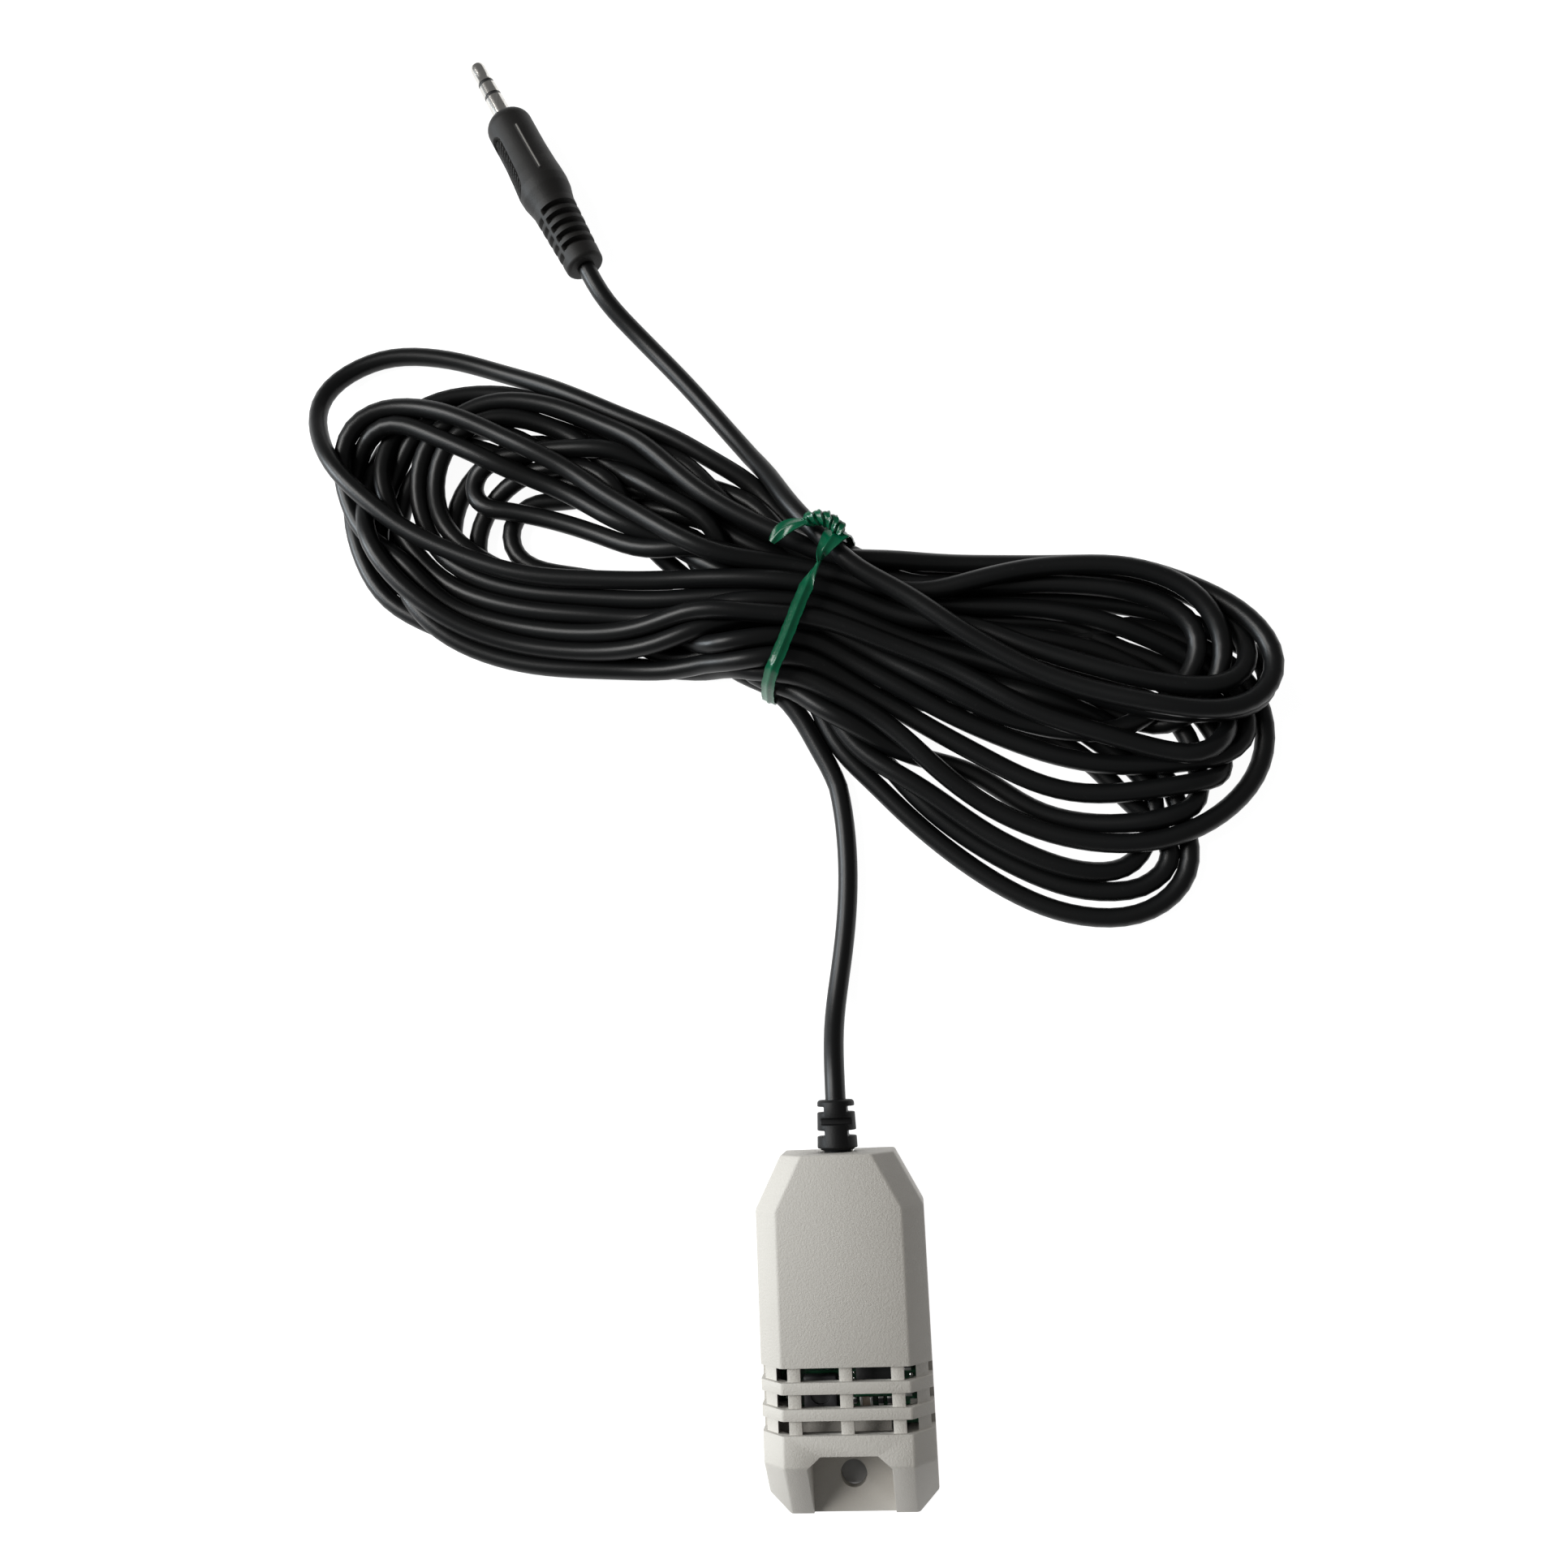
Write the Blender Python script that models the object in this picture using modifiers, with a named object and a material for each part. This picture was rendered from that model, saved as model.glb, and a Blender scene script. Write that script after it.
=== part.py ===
"""Wired temperature and humidity probe: slotted housing, board, cord in a tied hank, 3.5 mm plug.

Metres, +Z up. The housing lies on its back on z = 0 with its cable end towards +Y. The origin is
the middle of the housing's back.
"""

import math

import bmesh
import bpy
from mathutils import Matrix, Vector

MM = 0.001

# Housing, outer form
WIDTH = 26.7 * MM
LENGTH = 55.4 * MM
HEIGHT = 13.8 * MM
CHAMFER_ACROSS = 3.45 * MM
CHAMFER_DOWN = 3.8 * MM
CABLE_END_WIDTH = 18.1 * MM
SHOULDER_LENGTH = 8.3 * MM
NOSE_LENGTH = 9.6 * MM
NOSE_END_HEIGHT = 3.0 * MM
CORNER_ACROSS = 3.15 * MM
CORNER_ALONG = 3.4 * MM
EDGE_RADIUS = 0.3 * MM

# Housing, walls and ventilation
WALL = 1.8 * MM
SLOT_WIDTH = 2.1 * MM
SLOT_PITCH = 3.8 * MM
SLOT_COUNT = 3
GROOVE_DEPTH = 0.7 * MM
GROOVE_FOOT_HEIGHT = 6.5 * MM
RIB_WIDTH = 2.0 * MM
RIB_PITCH = 7.95 * MM
CORNER_OPENING = 1.8 * MM
SLOT_END_WALL = 1.1 * MM

# Screw recess at the nose
RECESS_TOP_WIDTH = 8.7 * MM
RECESS_WIDTH = 12.9 * MM
RECESS_LENGTH = 11.2 * MM
RECESS_CORNER = 1.8 * MM
LAST_SLOT_TO_RECESS = 3.0 * MM
TAB_THICKNESS = 2.0 * MM
SCREW_HOLE_DIAMETER = 4.2 * MM
SCREW_HOLE_FROM_NOSE = 5.6 * MM
LEG_WALL = 1.5 * MM

# Back cover and its screws
COVER_THICKNESS = 1.8 * MM
COVER_LEDGE = 0.9 * MM
BOSS_DIAMETER = 5.2 * MM
BOSS_SPACING = 13.0 * MM
BOSS_FROM_CABLE_END = 12.7 * MM
SCREW_DIAMETER = 2.0 * MM
SCREW_HEAD_DIAMETER = 3.8 * MM
SCREW_LENGTH = 10.4 * MM
SCREW_SINK = 0.2 * MM
POST_DIAMETER = 2.6 * MM
POST_SPACING = 15.0 * MM

# Clearances
FIT = 0.3 * MM
SCREW_FIT = 0.15 * MM
SOLDER_GAP = 0.1 * MM
CUT = 1.0 * MM

# Board and what it carries
BOARD_THICKNESS = 1.2 * MM
BOARD_HEIGHT = 5.0 * MM
BOARD_SIDE_GAP = 0.9 * MM
BOARD_TOP_GAP = 4.2 * MM
CHIP_LENGTH = 6.0 * MM
CHIP_WIDTH = 4.4 * MM
CHIP_THICKNESS = 1.5 * MM
CHIP_STAND = 0.2 * MM
CHIP_LEAD_PITCH = 1.27 * MM
CHIP_LEADS_A_SIDE = 4
CHIP_LEAD_WIDTH = 0.4 * MM
CHIP_LEAD_THICKNESS = 0.2 * MM
CHIP_LEAD_REACH = 1.1 * MM
SENSOR_SIZE = 5.2 * MM
SENSOR_THICKNESS = 2.2 * MM
SENSOR_WINDOW_DIAMETER = 3.2 * MM
SENSOR_WINDOW_DEPTH = 0.5 * MM
BEAD_DIAMETER = 1.6 * MM
BEAD_STAND = 1.8 * MM
BEAD_LEAD_DIAMETER = 0.4 * MM
CHIP_PART_LENGTH = 2.0 * MM
CHIP_PART_WIDTH = 1.25 * MM
CHIP_PART_HEIGHT = 0.7 * MM
CHIP_PART_CAP = 0.4 * MM
CHIP_PART_STEP = 0.06 * MM
CHIP_PART_EDGE_GAP = 0.725 * MM
WIRE_DIAMETER = 0.9 * MM
WIRE_SPACING = 1.3 * MM
WIRE_STRIP = 1.5 * MM

# Cord and strain relief
CORD_DIAMETER = 3.35 * MM
CORD_AXIS_HEIGHT = 6.5 * MM
RELIEF_LENGTH = 8.2 * MM
RELIEF_DIAMETER = 6.5 * MM
RELIEF_END_DIAMETER = 6.0 * MM
RELIEF_NOTCH = 0.9 * MM
RELIEF_SLOT = 1.0 * MM
RELIEF_CORE = 3.7 * MM
RELIEF_NECK_DIAMETER = 4.4 * MM
RELIEF_FLANGE_DIAMETER = 6.6 * MM
RELIEF_FLANGE_THICKNESS = 1.2 * MM

# Hank and tie
HANK_HEIGHT = 11.5 * MM
HANK_EDGE = 2.5 * MM
TIE_THICKNESS = 0.5 * MM
TIE_WIDTH = 2.8 * MM
WAIST = Vector((-3.0 * MM, 119.0 * MM, 0.0))
WAIST_WIDTH = 28.8 * MM
WAIST_TURN = math.radians(-27.3)
TIE_CORNER = 3.0 * MM
TIE_TWIST_START = Vector((0.0, 9.5 * MM))
TIE_TWIST_END = Vector((-1.4 * MM, 14.5 * MM))
TIE_TWIST_RADIUS = 1.1 * MM
TIE_FREE_ENDS = [Vector((-8.3 * MM, 8.8 * MM)), Vector((4.6 * MM, 13.5 * MM))]

# 3.5 mm plug
PIN_DIAMETER = 3.5 * MM
PIN_LENGTH = 14.0 * MM
TIP_LENGTH = 3.85 * MM
RING_LENGTH = 2.55 * MM
INSULATOR_LENGTH = 0.6 * MM
PIN_CORE_DIAMETER = 2.0 * MM
GRIP_LENGTH = 21.5 * MM
GRIP_DIAMETER = 8.9 * MM
SHOULDER_DIAMETER = 10.0 * MM
PLUG_RELIEF_LENGTH = 15.5 * MM
PLUG_RELIEF_DIAMETER = 8.4 * MM
PLUG_RELIEF_END_DIAMETER = 7.2 * MM
PLUG_GROOVES = 5
PLUG_GROOVE_WIDTH = 1.1 * MM
PLUG_GROOVE_PITCH = 2.35 * MM
PLUG_CORE_DIAMETER = 5.2 * MM
PLUG_FRONT_RADIUS = 2.4 * MM
GRIP_PAD_LENGTH = 11.5 * MM
GRIP_PAD_WIDTH = 3.4 * MM
GRIP_PAD_DEPTH = 0.6 * MM
GRIP_PAD_MIDDLE = -0.42 * GRIP_LENGTH
GRIP_RIBS = 9
GRIP_RIB_PITCH = 1.0 * MM
GRIP_RIB_HEIGHT = 0.3 * MM
GRIP_RIB_THICKNESS = 0.35 * MM
GRIP_RIB_LEAN = math.radians(35)
GRIP_LINE_WIDTH = 0.5 * MM
GRIP_LINE_LENGTH = 11.0 * MM
PLUG_TIP_PLACE = Vector((-60.3 * MM, 232.8 * MM, 0.0))
PLUG_END_PLACE = Vector((-38.6 * MM, 186.7 * MM, 0.0))

# Worked out from the sizes above
CABLE_END = LENGTH / 2
NOSE_END = -LENGTH / 2
SHOULDER = CABLE_END - SHOULDER_LENGTH
NOSE_START = NOSE_END + NOSE_LENGTH
TAPER = (WIDTH - CABLE_END_WIDTH) / 2 / SHOULDER_LENGTH
LAST_SLOT_END = NOSE_END + RECESS_LENGTH + LAST_SLOT_TO_RECESS
FIRST_SLOT = LAST_SLOT_END + (SLOT_COUNT - 1) * SLOT_PITCH + SLOT_WIDTH
CAVITY_END = LAST_SLOT_END - SLOT_END_WALL
BOARD_TOP = BOARD_HEIGHT + BOARD_THICKNESS
BOARD_END = CAVITY_END + BOARD_SIDE_GAP
EDGE_PART_PLACE = WIDTH / 2 - WALL - BOARD_SIDE_GAP - CHIP_PART_EDGE_GAP - CHIP_PART_WIDTH / 2
BOARD_MIDDLE_HALF = EDGE_PART_PLACE - CHIP_PART_WIDTH / 2
BOSS_PLACES = [(side * BOSS_SPACING / 2, CABLE_END - BOSS_FROM_CABLE_END) for side in (-1, 1)]
POST_PLACES = [(side * POST_SPACING / 2, BOARD_END + POST_DIAMETER / 2) for side in (-1, 1)]
SCREW_HOLE = (0.0, NOSE_END + SCREW_HOLE_FROM_NOSE)
HANK_BOTTOM = TIE_THICKNESS + FIT

# The cord's free stretches, as chosen points along its middle (millimetres)
PROBE_LEAD = [
    (0.0, 36.2, 6.5), (0.0, 38.7, 6.4), (0.0, 41.6, 5.7), (0.0, 45.4, 4.2), (0.4, 50.2, 2.5),
    (1.6, 57.0, 1.7), (2.9, 65.0, 1.7), (3.6, 73.0, 1.7), (3.6, 79.0, 1.7), (2.9, 87.0, 1.7),
    (1.3, 94.2, 1.9), (-1.0, 98.6, 2.4),
]
PLUG_LEAD = [
    (-38.6, 186.7, 5.0), (-37.4, 184.1, 4.9), (-35.8, 181.6, 4.2), (-33.0, 178.4, 2.9),
    (-28.4, 173.1, 1.8),
    (-22.4, 165.9, 1.7), (-16.6, 158.3, 1.9), (-11.8, 151.5, 3.2), (-8.4, 146.6, 5.2),
    (-5.4, 142.0, 7.2),
]
LEAD_SPACING = 2 * CORD_DIAMETER

# The hank's outer shape from above, chosen points (millimetres)
HANK_OUTLINE = [
    (3.2, 131.4), (-16.0, 148.6), (-43.0, 165.6), (-71.0, 174.6), (-86.5, 171.5), (-91.5, 160.5),
    (-88.0, 145.0), (-80.5, 130.0), (-67.0, 118.8), (-44.0, 111.0), (-22.0, 109.0), (-9.2, 106.6),
    (0.5, 100.4), (13.0, 84.5), (28.0, 69.5), (44.0, 62.2), (57.0, 64.5), (63.5, 75.5),
    (74.5, 89.0), (79.0, 102.0), (73.0, 115.0), (58.0, 125.0), (33.0, 127.6), (14.0, 128.4),
]


# Finishes
WARM_GREY_PLASTIC = (0.44, 0.42, 0.38)
BLACK_PLASTIC = (0.018, 0.018, 0.019)
CHIP_BLACK = (0.02, 0.02, 0.022)
RESISTOR_BLACK = (0.03, 0.03, 0.035)
CAPACITOR_BROWN = (0.20, 0.15, 0.10)
SENSOR_GREY = (0.05, 0.05, 0.055)
BEAD_AMBER = (0.35, 0.12, 0.04)
BOARD_GREEN = (0.01, 0.12, 0.05)
TIE_GREEN = (0.0, 0.22, 0.11)
STEEL = (0.62, 0.62, 0.63)
WIRE_COLOURS = {
    "wire_supply": (0.5, 0.02, 0.02),
    "wire_data": (0.7, 0.6, 0.05),
    "wire_ground": (0.02, 0.02, 0.02),
}


def clear_scene():
    for obj in list(bpy.data.objects):
        bpy.data.objects.remove(obj)


def new_collection(name):
    collection = bpy.data.collections.new(name)
    bpy.context.scene.collection.children.link(collection)
    return collection


clear_scene()
PARTS = new_collection("temperature_humidity_probe")
CUTTERS = new_collection("cutters")


def finish_material(name, colour, roughness, metallic=0.0):
    material = bpy.data.materials.new(name)
    material.use_nodes = True
    shader = material.node_tree.nodes["Principled BSDF"]
    shader.inputs["Base Color"].default_value = (*colour, 1.0)
    shader.inputs["Roughness"].default_value = roughness
    shader.inputs["Metallic"].default_value = metallic
    material.diffuse_color = (*colour, 1.0)
    return material


def link(obj, cutter):
    (CUTTERS if cutter else PARTS).objects.link(obj)
    if cutter:
        obj.hide_render = True
        obj.display_type = "WIRE"
    return obj


def object_of(name, bm, material=None, cutter=False, smooth=False):
    mesh = bpy.data.meshes.new(name)
    bmesh.ops.recalc_face_normals(bm, faces=bm.faces)
    bm.to_mesh(mesh)
    bm.free()
    if material:
        mesh.materials.append(material)
    if smooth:
        mesh.shade_smooth()
        mesh.set_sharp_from_angle(angle=math.radians(35))
    return link(bpy.data.objects.new(name, mesh), cutter)


def boolean(obj, other, operation="DIFFERENCE"):
    modifier = obj.modifiers.new(f"{operation.lower()} {other.name}", "BOOLEAN")
    modifier.operation = operation
    modifier.object = other


def box(bm, low, high):
    """A box between two corners."""
    low, high = Vector(low), Vector(high)
    place = Matrix.Translation((low + high) / 2) @ Matrix.Diagonal((*(high - low), 1.0))
    bmesh.ops.create_cube(bm, size=1.0, matrix=place)


def cylinder(bm, centre, low, high, radius, end_radius=None, sides=32):
    """An upright cylinder, or a cone when its end radius differs."""
    place = Matrix.Translation((centre[0], centre[1], (low + high) / 2))
    bmesh.ops.create_cone(
        bm,
        cap_ends=True,
        segments=sides,
        radius1=radius,
        radius2=radius if end_radius is None else end_radius,
        depth=high - low,
        matrix=place,
    )


def extrude(bm, face, reach):
    """A solid from a face, drawn out by a vector."""
    raised = bmesh.ops.extrude_face_region(bm, geom=[face])["geom"]
    ends = [item for item in raised if isinstance(item, bmesh.types.BMVert)]
    bmesh.ops.translate(bm, vec=reach, verts=ends)


def prism(bm, outline, low, high):
    """A flat outline, drawn from above, raised between two heights."""
    face = bm.faces.new([bm.verts.new((x, y, low)) for x, y in outline])
    extrude(bm, face, (0, 0, high - low))


def turned(name, profile, material, steps=32, frame=None, cutter=False):
    """A turned piece about Z: (radius, height) points from the top down its outer side."""
    bm = bmesh.new()
    points = [bm.verts.new((radius, 0, height)) for radius, height in profile]
    for start, end in zip(points, points[1:]):
        bm.edges.new((start, end))
    mesh = bpy.data.meshes.new(name)
    bm.to_mesh(mesh)
    bm.free()
    if material:
        mesh.materials.append(material)
    obj = link(bpy.data.objects.new(name, mesh), cutter)
    screw = obj.modifiers.new("turn", "SCREW")
    screw.steps = steps
    screw.render_steps = steps
    screw.use_merge_vertices = True
    screw.merge_threshold = 1e-5
    screw.use_smooth_shade = True
    if frame:
        obj.parent = frame
    return obj


def smooth_route(points, spacing):
    """Evenly spaced points on a smooth curve through the chosen ones."""
    ends = [points[0] * 2 - points[1]] + points + [points[-1] * 2 - points[-2]]
    fine = []
    for a, b, c, d in zip(ends, ends[1:], ends[2:], ends[3:]):
        for step in range(24):
            t = step / 24
            fine.append(
                (b * 2 + (c - a) * t + (a * 2 - b * 5 + c * 4 - d) * t**2
                 + (b * 3 - a - c * 3 + d) * t**3) / 2
            )
    fine.append(points[-1])
    along = [0.0]
    for start, end in zip(fine, fine[1:]):
        along.append(along[-1] + (end - start).length)
    count = max(2, round(along[-1] / spacing))
    route, index = [], 0
    for step in range(count + 1):
        wanted = along[-1] * step / count
        while index < len(fine) - 2 and along[index + 1] < wanted:
            index += 1
        share = (wanted - along[index]) / (along[index + 1] - along[index])
        route.append(fine[index].lerp(fine[index + 1], min(1.0, share)))
    return route


def tube(name, route, diameter, material, sides=2):
    curve = bpy.data.curves.new(name, "CURVE")
    curve.dimensions = "3D"
    curve.bevel_depth = diameter / 2
    curve.bevel_resolution = sides
    curve.use_fill_caps = True
    spline = curve.splines.new("POLY")
    spline.points.add(len(route) - 1)
    for point, place in zip(spline.points, route):
        point.co = (*place, 1.0)
    curve.materials.append(material)
    return link(bpy.data.objects.new(name, curve), False)


# The housing's form, at any inset from its outer faces. Each section across the housing is a
# flat-topped arch: upright sides, a chamfer on each side and the front face between them.


def inset_chamfer(inset):
    """Half the width, half the front face, the chamfer's foot and its top, of the middle section."""
    slope = math.atan2(CHAMFER_DOWN, CHAMFER_ACROSS)
    half = WIDTH / 2 - inset
    front = WIDTH / 2 - CHAMFER_ACROSS - inset * math.tan(slope / 2)
    foot = HEIGHT - CHAMFER_DOWN - inset * math.tan((math.pi / 2 - slope) / 2)
    return half, front, foot, HEIGHT - inset


def inset_taper(inset):
    """Where the shoulder starts and the cable end lies, and how far the sides come in between."""
    turn = math.atan(TAPER)
    start = SHOULDER - inset * math.tan(turn / 2)
    end = CABLE_END - inset
    return start, end, (end - start) * TAPER


def plan_outline(inset, low):
    """The housing's outline from above, from the cable end down to y = low."""
    half = WIDTH / 2 - inset
    start, end, narrowing = inset_taper(inset)
    right = [(half - narrowing, end), (half, start), (half, low)]
    return [(-x, y) for x, y in reversed(right)] + right


def housing_form(bm, inset, low, floor):
    """The housing's form from y = low to the cable end, and from z = floor up."""
    half, front, foot, top = inset_chamfer(inset)
    start, end, narrowing = inset_taper(inset)
    fall = (HEIGHT - NOSE_END_HEIGHT) / NOSE_LENGTH
    bend = NOSE_START + inset * math.tan(math.atan(fall) / 2)
    stations = [(end, narrowing, 0.0), (start, 0.0, 0.0)]
    if low < bend:
        stations += [(bend, 0.0, 0.0), (low, 0.0, (bend - low) * fall)]
    else:
        stations.append((low, 0.0, 0.0))
    base = min(floor, foot - stations[-1][2] - CUT)
    loops = []
    for y, narrow, drop in stations:
        arch = [(half - narrow, base), (half - narrow, foot - drop), (front - narrow, top - drop)]
        arch += [(-x, z) for x, z in reversed(arch)]
        ring = [bm.verts.new((x, y, z)) for x, z in arch]
        loops.append([bm.edges.new((a, b)) for a, b in zip(ring, ring[1:] + ring[:1])])
    for first, second in zip(loops, loops[1:]):
        bmesh.ops.bridge_loops(bm, edges=first + second)
    bmesh.ops.edgeloop_fill(bm, edges=loops[0])
    bmesh.ops.edgeloop_fill(bm, edges=loops[-1])
    slice_off(bm, (0, 0, floor), (0, 0, -1))


def slice_off(bm, point, outward):
    """Cuts a form with a plane, drops what lies outside it and closes the face."""
    everything = bm.verts[:] + bm.edges[:] + bm.faces[:]
    cut = bmesh.ops.bisect_plane(
        bm, geom=everything, plane_co=point, plane_no=outward, clear_outer=True
    )["geom_cut"]
    edges = [item for item in cut if isinstance(item, bmesh.types.BMEdge)]
    bmesh.ops.edgeloop_fill(bm, edges=edges)


def make_front_cover():
    """The slotted moulding: one shell with its bosses, screw recess and open back."""
    plastic = finish_material("pale_cover_plastic", WARM_GREY_PLASTIC, 0.55)
    bm = bmesh.new()
    housing_form(bm, 0.0, NOSE_END, 0.0)
    for side in (-1, 1):
        corner = (side * WIDTH / 2, NOSE_END + CORNER_ALONG, 0)
        slice_off(bm, corner, (side * CORNER_ALONG, -CORNER_ACROSS, 0))
    cover = object_of("front_cover", bm, plastic)
    rounding = cover.modifiers.new("moulded edges", "BEVEL")
    rounding.width = EDGE_RADIUS
    rounding.segments = 2
    rounding.limit_method = "ANGLE"
    rounding.angle_limit = math.radians(20)

    boolean(cover, make_cavity())
    boolean(cover, make_bosses(), "UNION")
    boolean(cover, make_grooves())
    boolean(cover, make_openings())
    boolean(cover, make_recess())
    boolean(cover, make_leg_pockets())
    boolean(cover, make_pilot_holes())


def make_cavity():
    """The room inside, the ledge that the back cover sits on and the slot that the cord drops into."""
    bm = bmesh.new()
    housing_form(bm, WALL, CAVITY_END, -CUT)
    room = object_of("room", bm, cutter=True)

    bm = bmesh.new()
    prism(bm, plan_outline(WALL - COVER_LEDGE, CAVITY_END - COVER_LEDGE), -CUT, COVER_THICKNESS + FIT)
    ledge = object_of("cover_ledge", bm, cutter=True)

    bm = bmesh.new()
    radius = RELIEF_NECK_DIAMETER / 2 + FIT
    inner = CABLE_END - WALL - CUT
    box(bm, (-radius, inner, -CUT), (radius, CABLE_END + CUT, CORD_AXIS_HEIGHT))
    slot = object_of("cord_slot", bm, cutter=True)

    bm = bmesh.new()
    cylinder(bm, (0, 0), inner, CABLE_END + CUT, radius)
    bmesh.ops.rotate(bm, cent=(0, 0, 0), matrix=Matrix.Rotation(-math.pi / 2, 3, "X"), verts=bm.verts)
    bmesh.ops.translate(bm, vec=(0, 0, CORD_AXIS_HEIGHT), verts=bm.verts)
    round_end = object_of("cord_slot_round_end", bm, cutter=True)

    for other in (ledge, slot, round_end):
        boolean(room, other, "UNION")
    return room


def make_bosses():
    """Two screw bosses and two ribs that hold the board down, grown from the inside of the shell."""
    half, front, foot, top = inset_chamfer(WALL)
    bm = bmesh.new()
    for place in BOSS_PLACES:
        cylinder(bm, place, BOARD_TOP + FIT, top + WALL / 2, BOSS_DIAMETER / 2)
    slat = FIRST_SLOT - 2 * SLOT_PITCH + (SLOT_PITCH - SLOT_WIDTH) / 2
    for side in (-1, 1):
        inner, outer = side * (front + CUT / 2), side * (half + WALL / 2)
        low = (min(inner, outer), slat - RIB_WIDTH / 4, BOARD_TOP + FIT)
        high = (max(inner, outer), slat + RIB_WIDTH / 4, foot)
        box(bm, low, high)
    return object_of("bosses", bm, cutter=True)


def slot_span(index):
    """The two edges of a slot, nearest the nose first."""
    top = FIRST_SLOT - index * SLOT_PITCH
    return top - SLOT_WIDTH, top


def make_grooves():
    """The slots' outer grooves, which run over the chamfers and down part of each side."""
    bm = bmesh.new()
    for index in range(SLOT_COUNT):
        low, high = slot_span(index)
        box(bm, (-WIDTH, low, GROOVE_FOOT_HEIGHT), (WIDTH, high, HEIGHT + CUT))
    grooves = object_of("vent_grooves", bm, cutter=True)
    bm = bmesh.new()
    housing_form(bm, GROOVE_DEPTH, CAVITY_END, 0.0)
    boolean(grooves, object_of("groove_floor", bm, cutter=True))
    return grooves


def make_openings():
    """What the slots leave open between their three upright ribs, and past the outer two."""
    bm = bmesh.new()
    edge = RIB_PITCH + RIB_WIDTH / 2
    spans = [
        (-edge - CORNER_OPENING, -edge),
        (-RIB_PITCH + RIB_WIDTH / 2, -RIB_WIDTH / 2),
        (RIB_WIDTH / 2, RIB_PITCH - RIB_WIDTH / 2),
        (edge, edge + CORNER_OPENING),
    ]
    for index in range(SLOT_COUNT):
        low, high = slot_span(index)
        for left, right in spans:
            box(bm, (left, low, HEIGHT - CHAMFER_DOWN - WALL), (right, high, HEIGHT + CUT))
    return object_of("vent_openings", bm, cutter=True)


def make_recess():
    """The screw recess, open at the nose, and the screw hole in its floor."""
    start = NOSE_END + RECESS_LENGTH
    right = [
        (RECESS_TOP_WIDTH / 2, start),
        (RECESS_WIDTH / 2, start - RECESS_CORNER),
        (RECESS_WIDTH / 2, NOSE_END - CUT),
    ]
    bm = bmesh.new()
    prism(bm, [(-x, y) for x, y in reversed(right)] + right, TAB_THICKNESS, HEIGHT + CUT)
    recess = object_of("screw_recess", bm, cutter=True)
    bm = bmesh.new()
    cylinder(bm, SCREW_HOLE, -CUT, TAB_THICKNESS + CUT, SCREW_HOLE_DIAMETER / 2, sides=40)
    boolean(recess, object_of("screw_hole", bm, cutter=True), "UNION")
    return recess


def make_leg_pockets():
    """The legs beside the recess are cored out from the back, so that their walls stay even."""
    bm = bmesh.new()
    housing_form(bm, WALL, NOSE_END + CORNER_ALONG + WALL / 2, -CUT)
    pockets = object_of("leg_pockets", bm, cutter=True)
    bm = bmesh.new()
    middle = RECESS_WIDTH / 2 + LEG_WALL
    box(bm, (-middle, NOSE_END - CUT, -2 * CUT), (middle, CABLE_END, HEIGHT + CUT))
    boolean(pockets, object_of("between_pockets", bm, cutter=True))
    bm = bmesh.new()
    top = CAVITY_END - COVER_LEDGE - LEG_WALL
    box(bm, (-WIDTH, top, -2 * CUT), (WIDTH, CABLE_END + CUT, HEIGHT + CUT))
    boolean(pockets, object_of("above_pockets", bm, cutter=True))
    return pockets


def make_pilot_holes():
    bm = bmesh.new()
    radius = SCREW_DIAMETER / 2 + SCREW_FIT
    for place in BOSS_PLACES:
        cylinder(bm, place, BOARD_HEIGHT, SCREW_SINK + SCREW_LENGTH + FIT, radius, sides=20)
    return object_of("pilot_holes", bm, cutter=True)


def make_back_cover():
    """The flat lid in the open back, with standoffs, posts and the tongue below the cord."""
    plastic = finish_material("pale_back_plastic", WARM_GREY_PLASTIC, 0.55)
    bm = bmesh.new()
    prism(bm, plan_outline(WALL - COVER_LEDGE + FIT, CAVITY_END - COVER_LEDGE + FIT), 0.0, COVER_THICKNESS)
    cover = object_of("back_cover", bm, plastic)

    bm = bmesh.new()
    for place in BOSS_PLACES:
        cylinder(bm, place, COVER_THICKNESS / 2, BOARD_HEIGHT - FIT, BOSS_DIAMETER / 2)
    for place in POST_PLACES:
        cylinder(bm, place, COVER_THICKNESS / 2, BOARD_HEIGHT - FIT, POST_DIAMETER / 2, sides=20)
    boolean(cover, object_of("standoffs", bm, cutter=True), "UNION")

    bm = bmesh.new()
    half = RELIEF_NECK_DIAMETER / 2
    inner = CABLE_END - WALL
    box(bm, (-half, inner, 0), (half, CABLE_END, CORD_AXIS_HEIGHT - half - FIT))
    boolean(cover, object_of("cord_tongue", bm, cutter=True), "UNION")

    bm = bmesh.new()
    shank = SCREW_DIAMETER / 2 + FIT
    head = SCREW_HEAD_DIAMETER / 2 + FIT
    for place in BOSS_PLACES:
        cylinder(bm, place, -CUT, BOARD_HEIGHT, shank, sides=24)
    boolean(cover, object_of("screw_clearance", bm, cutter=True))
    bm = bmesh.new()
    for place in BOSS_PLACES:
        cylinder(bm, place, -CUT, SCREW_SINK + head - shank, head + CUT + SCREW_SINK, shank, sides=24)
    boolean(cover, object_of("screw_countersink", bm, cutter=True))


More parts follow.
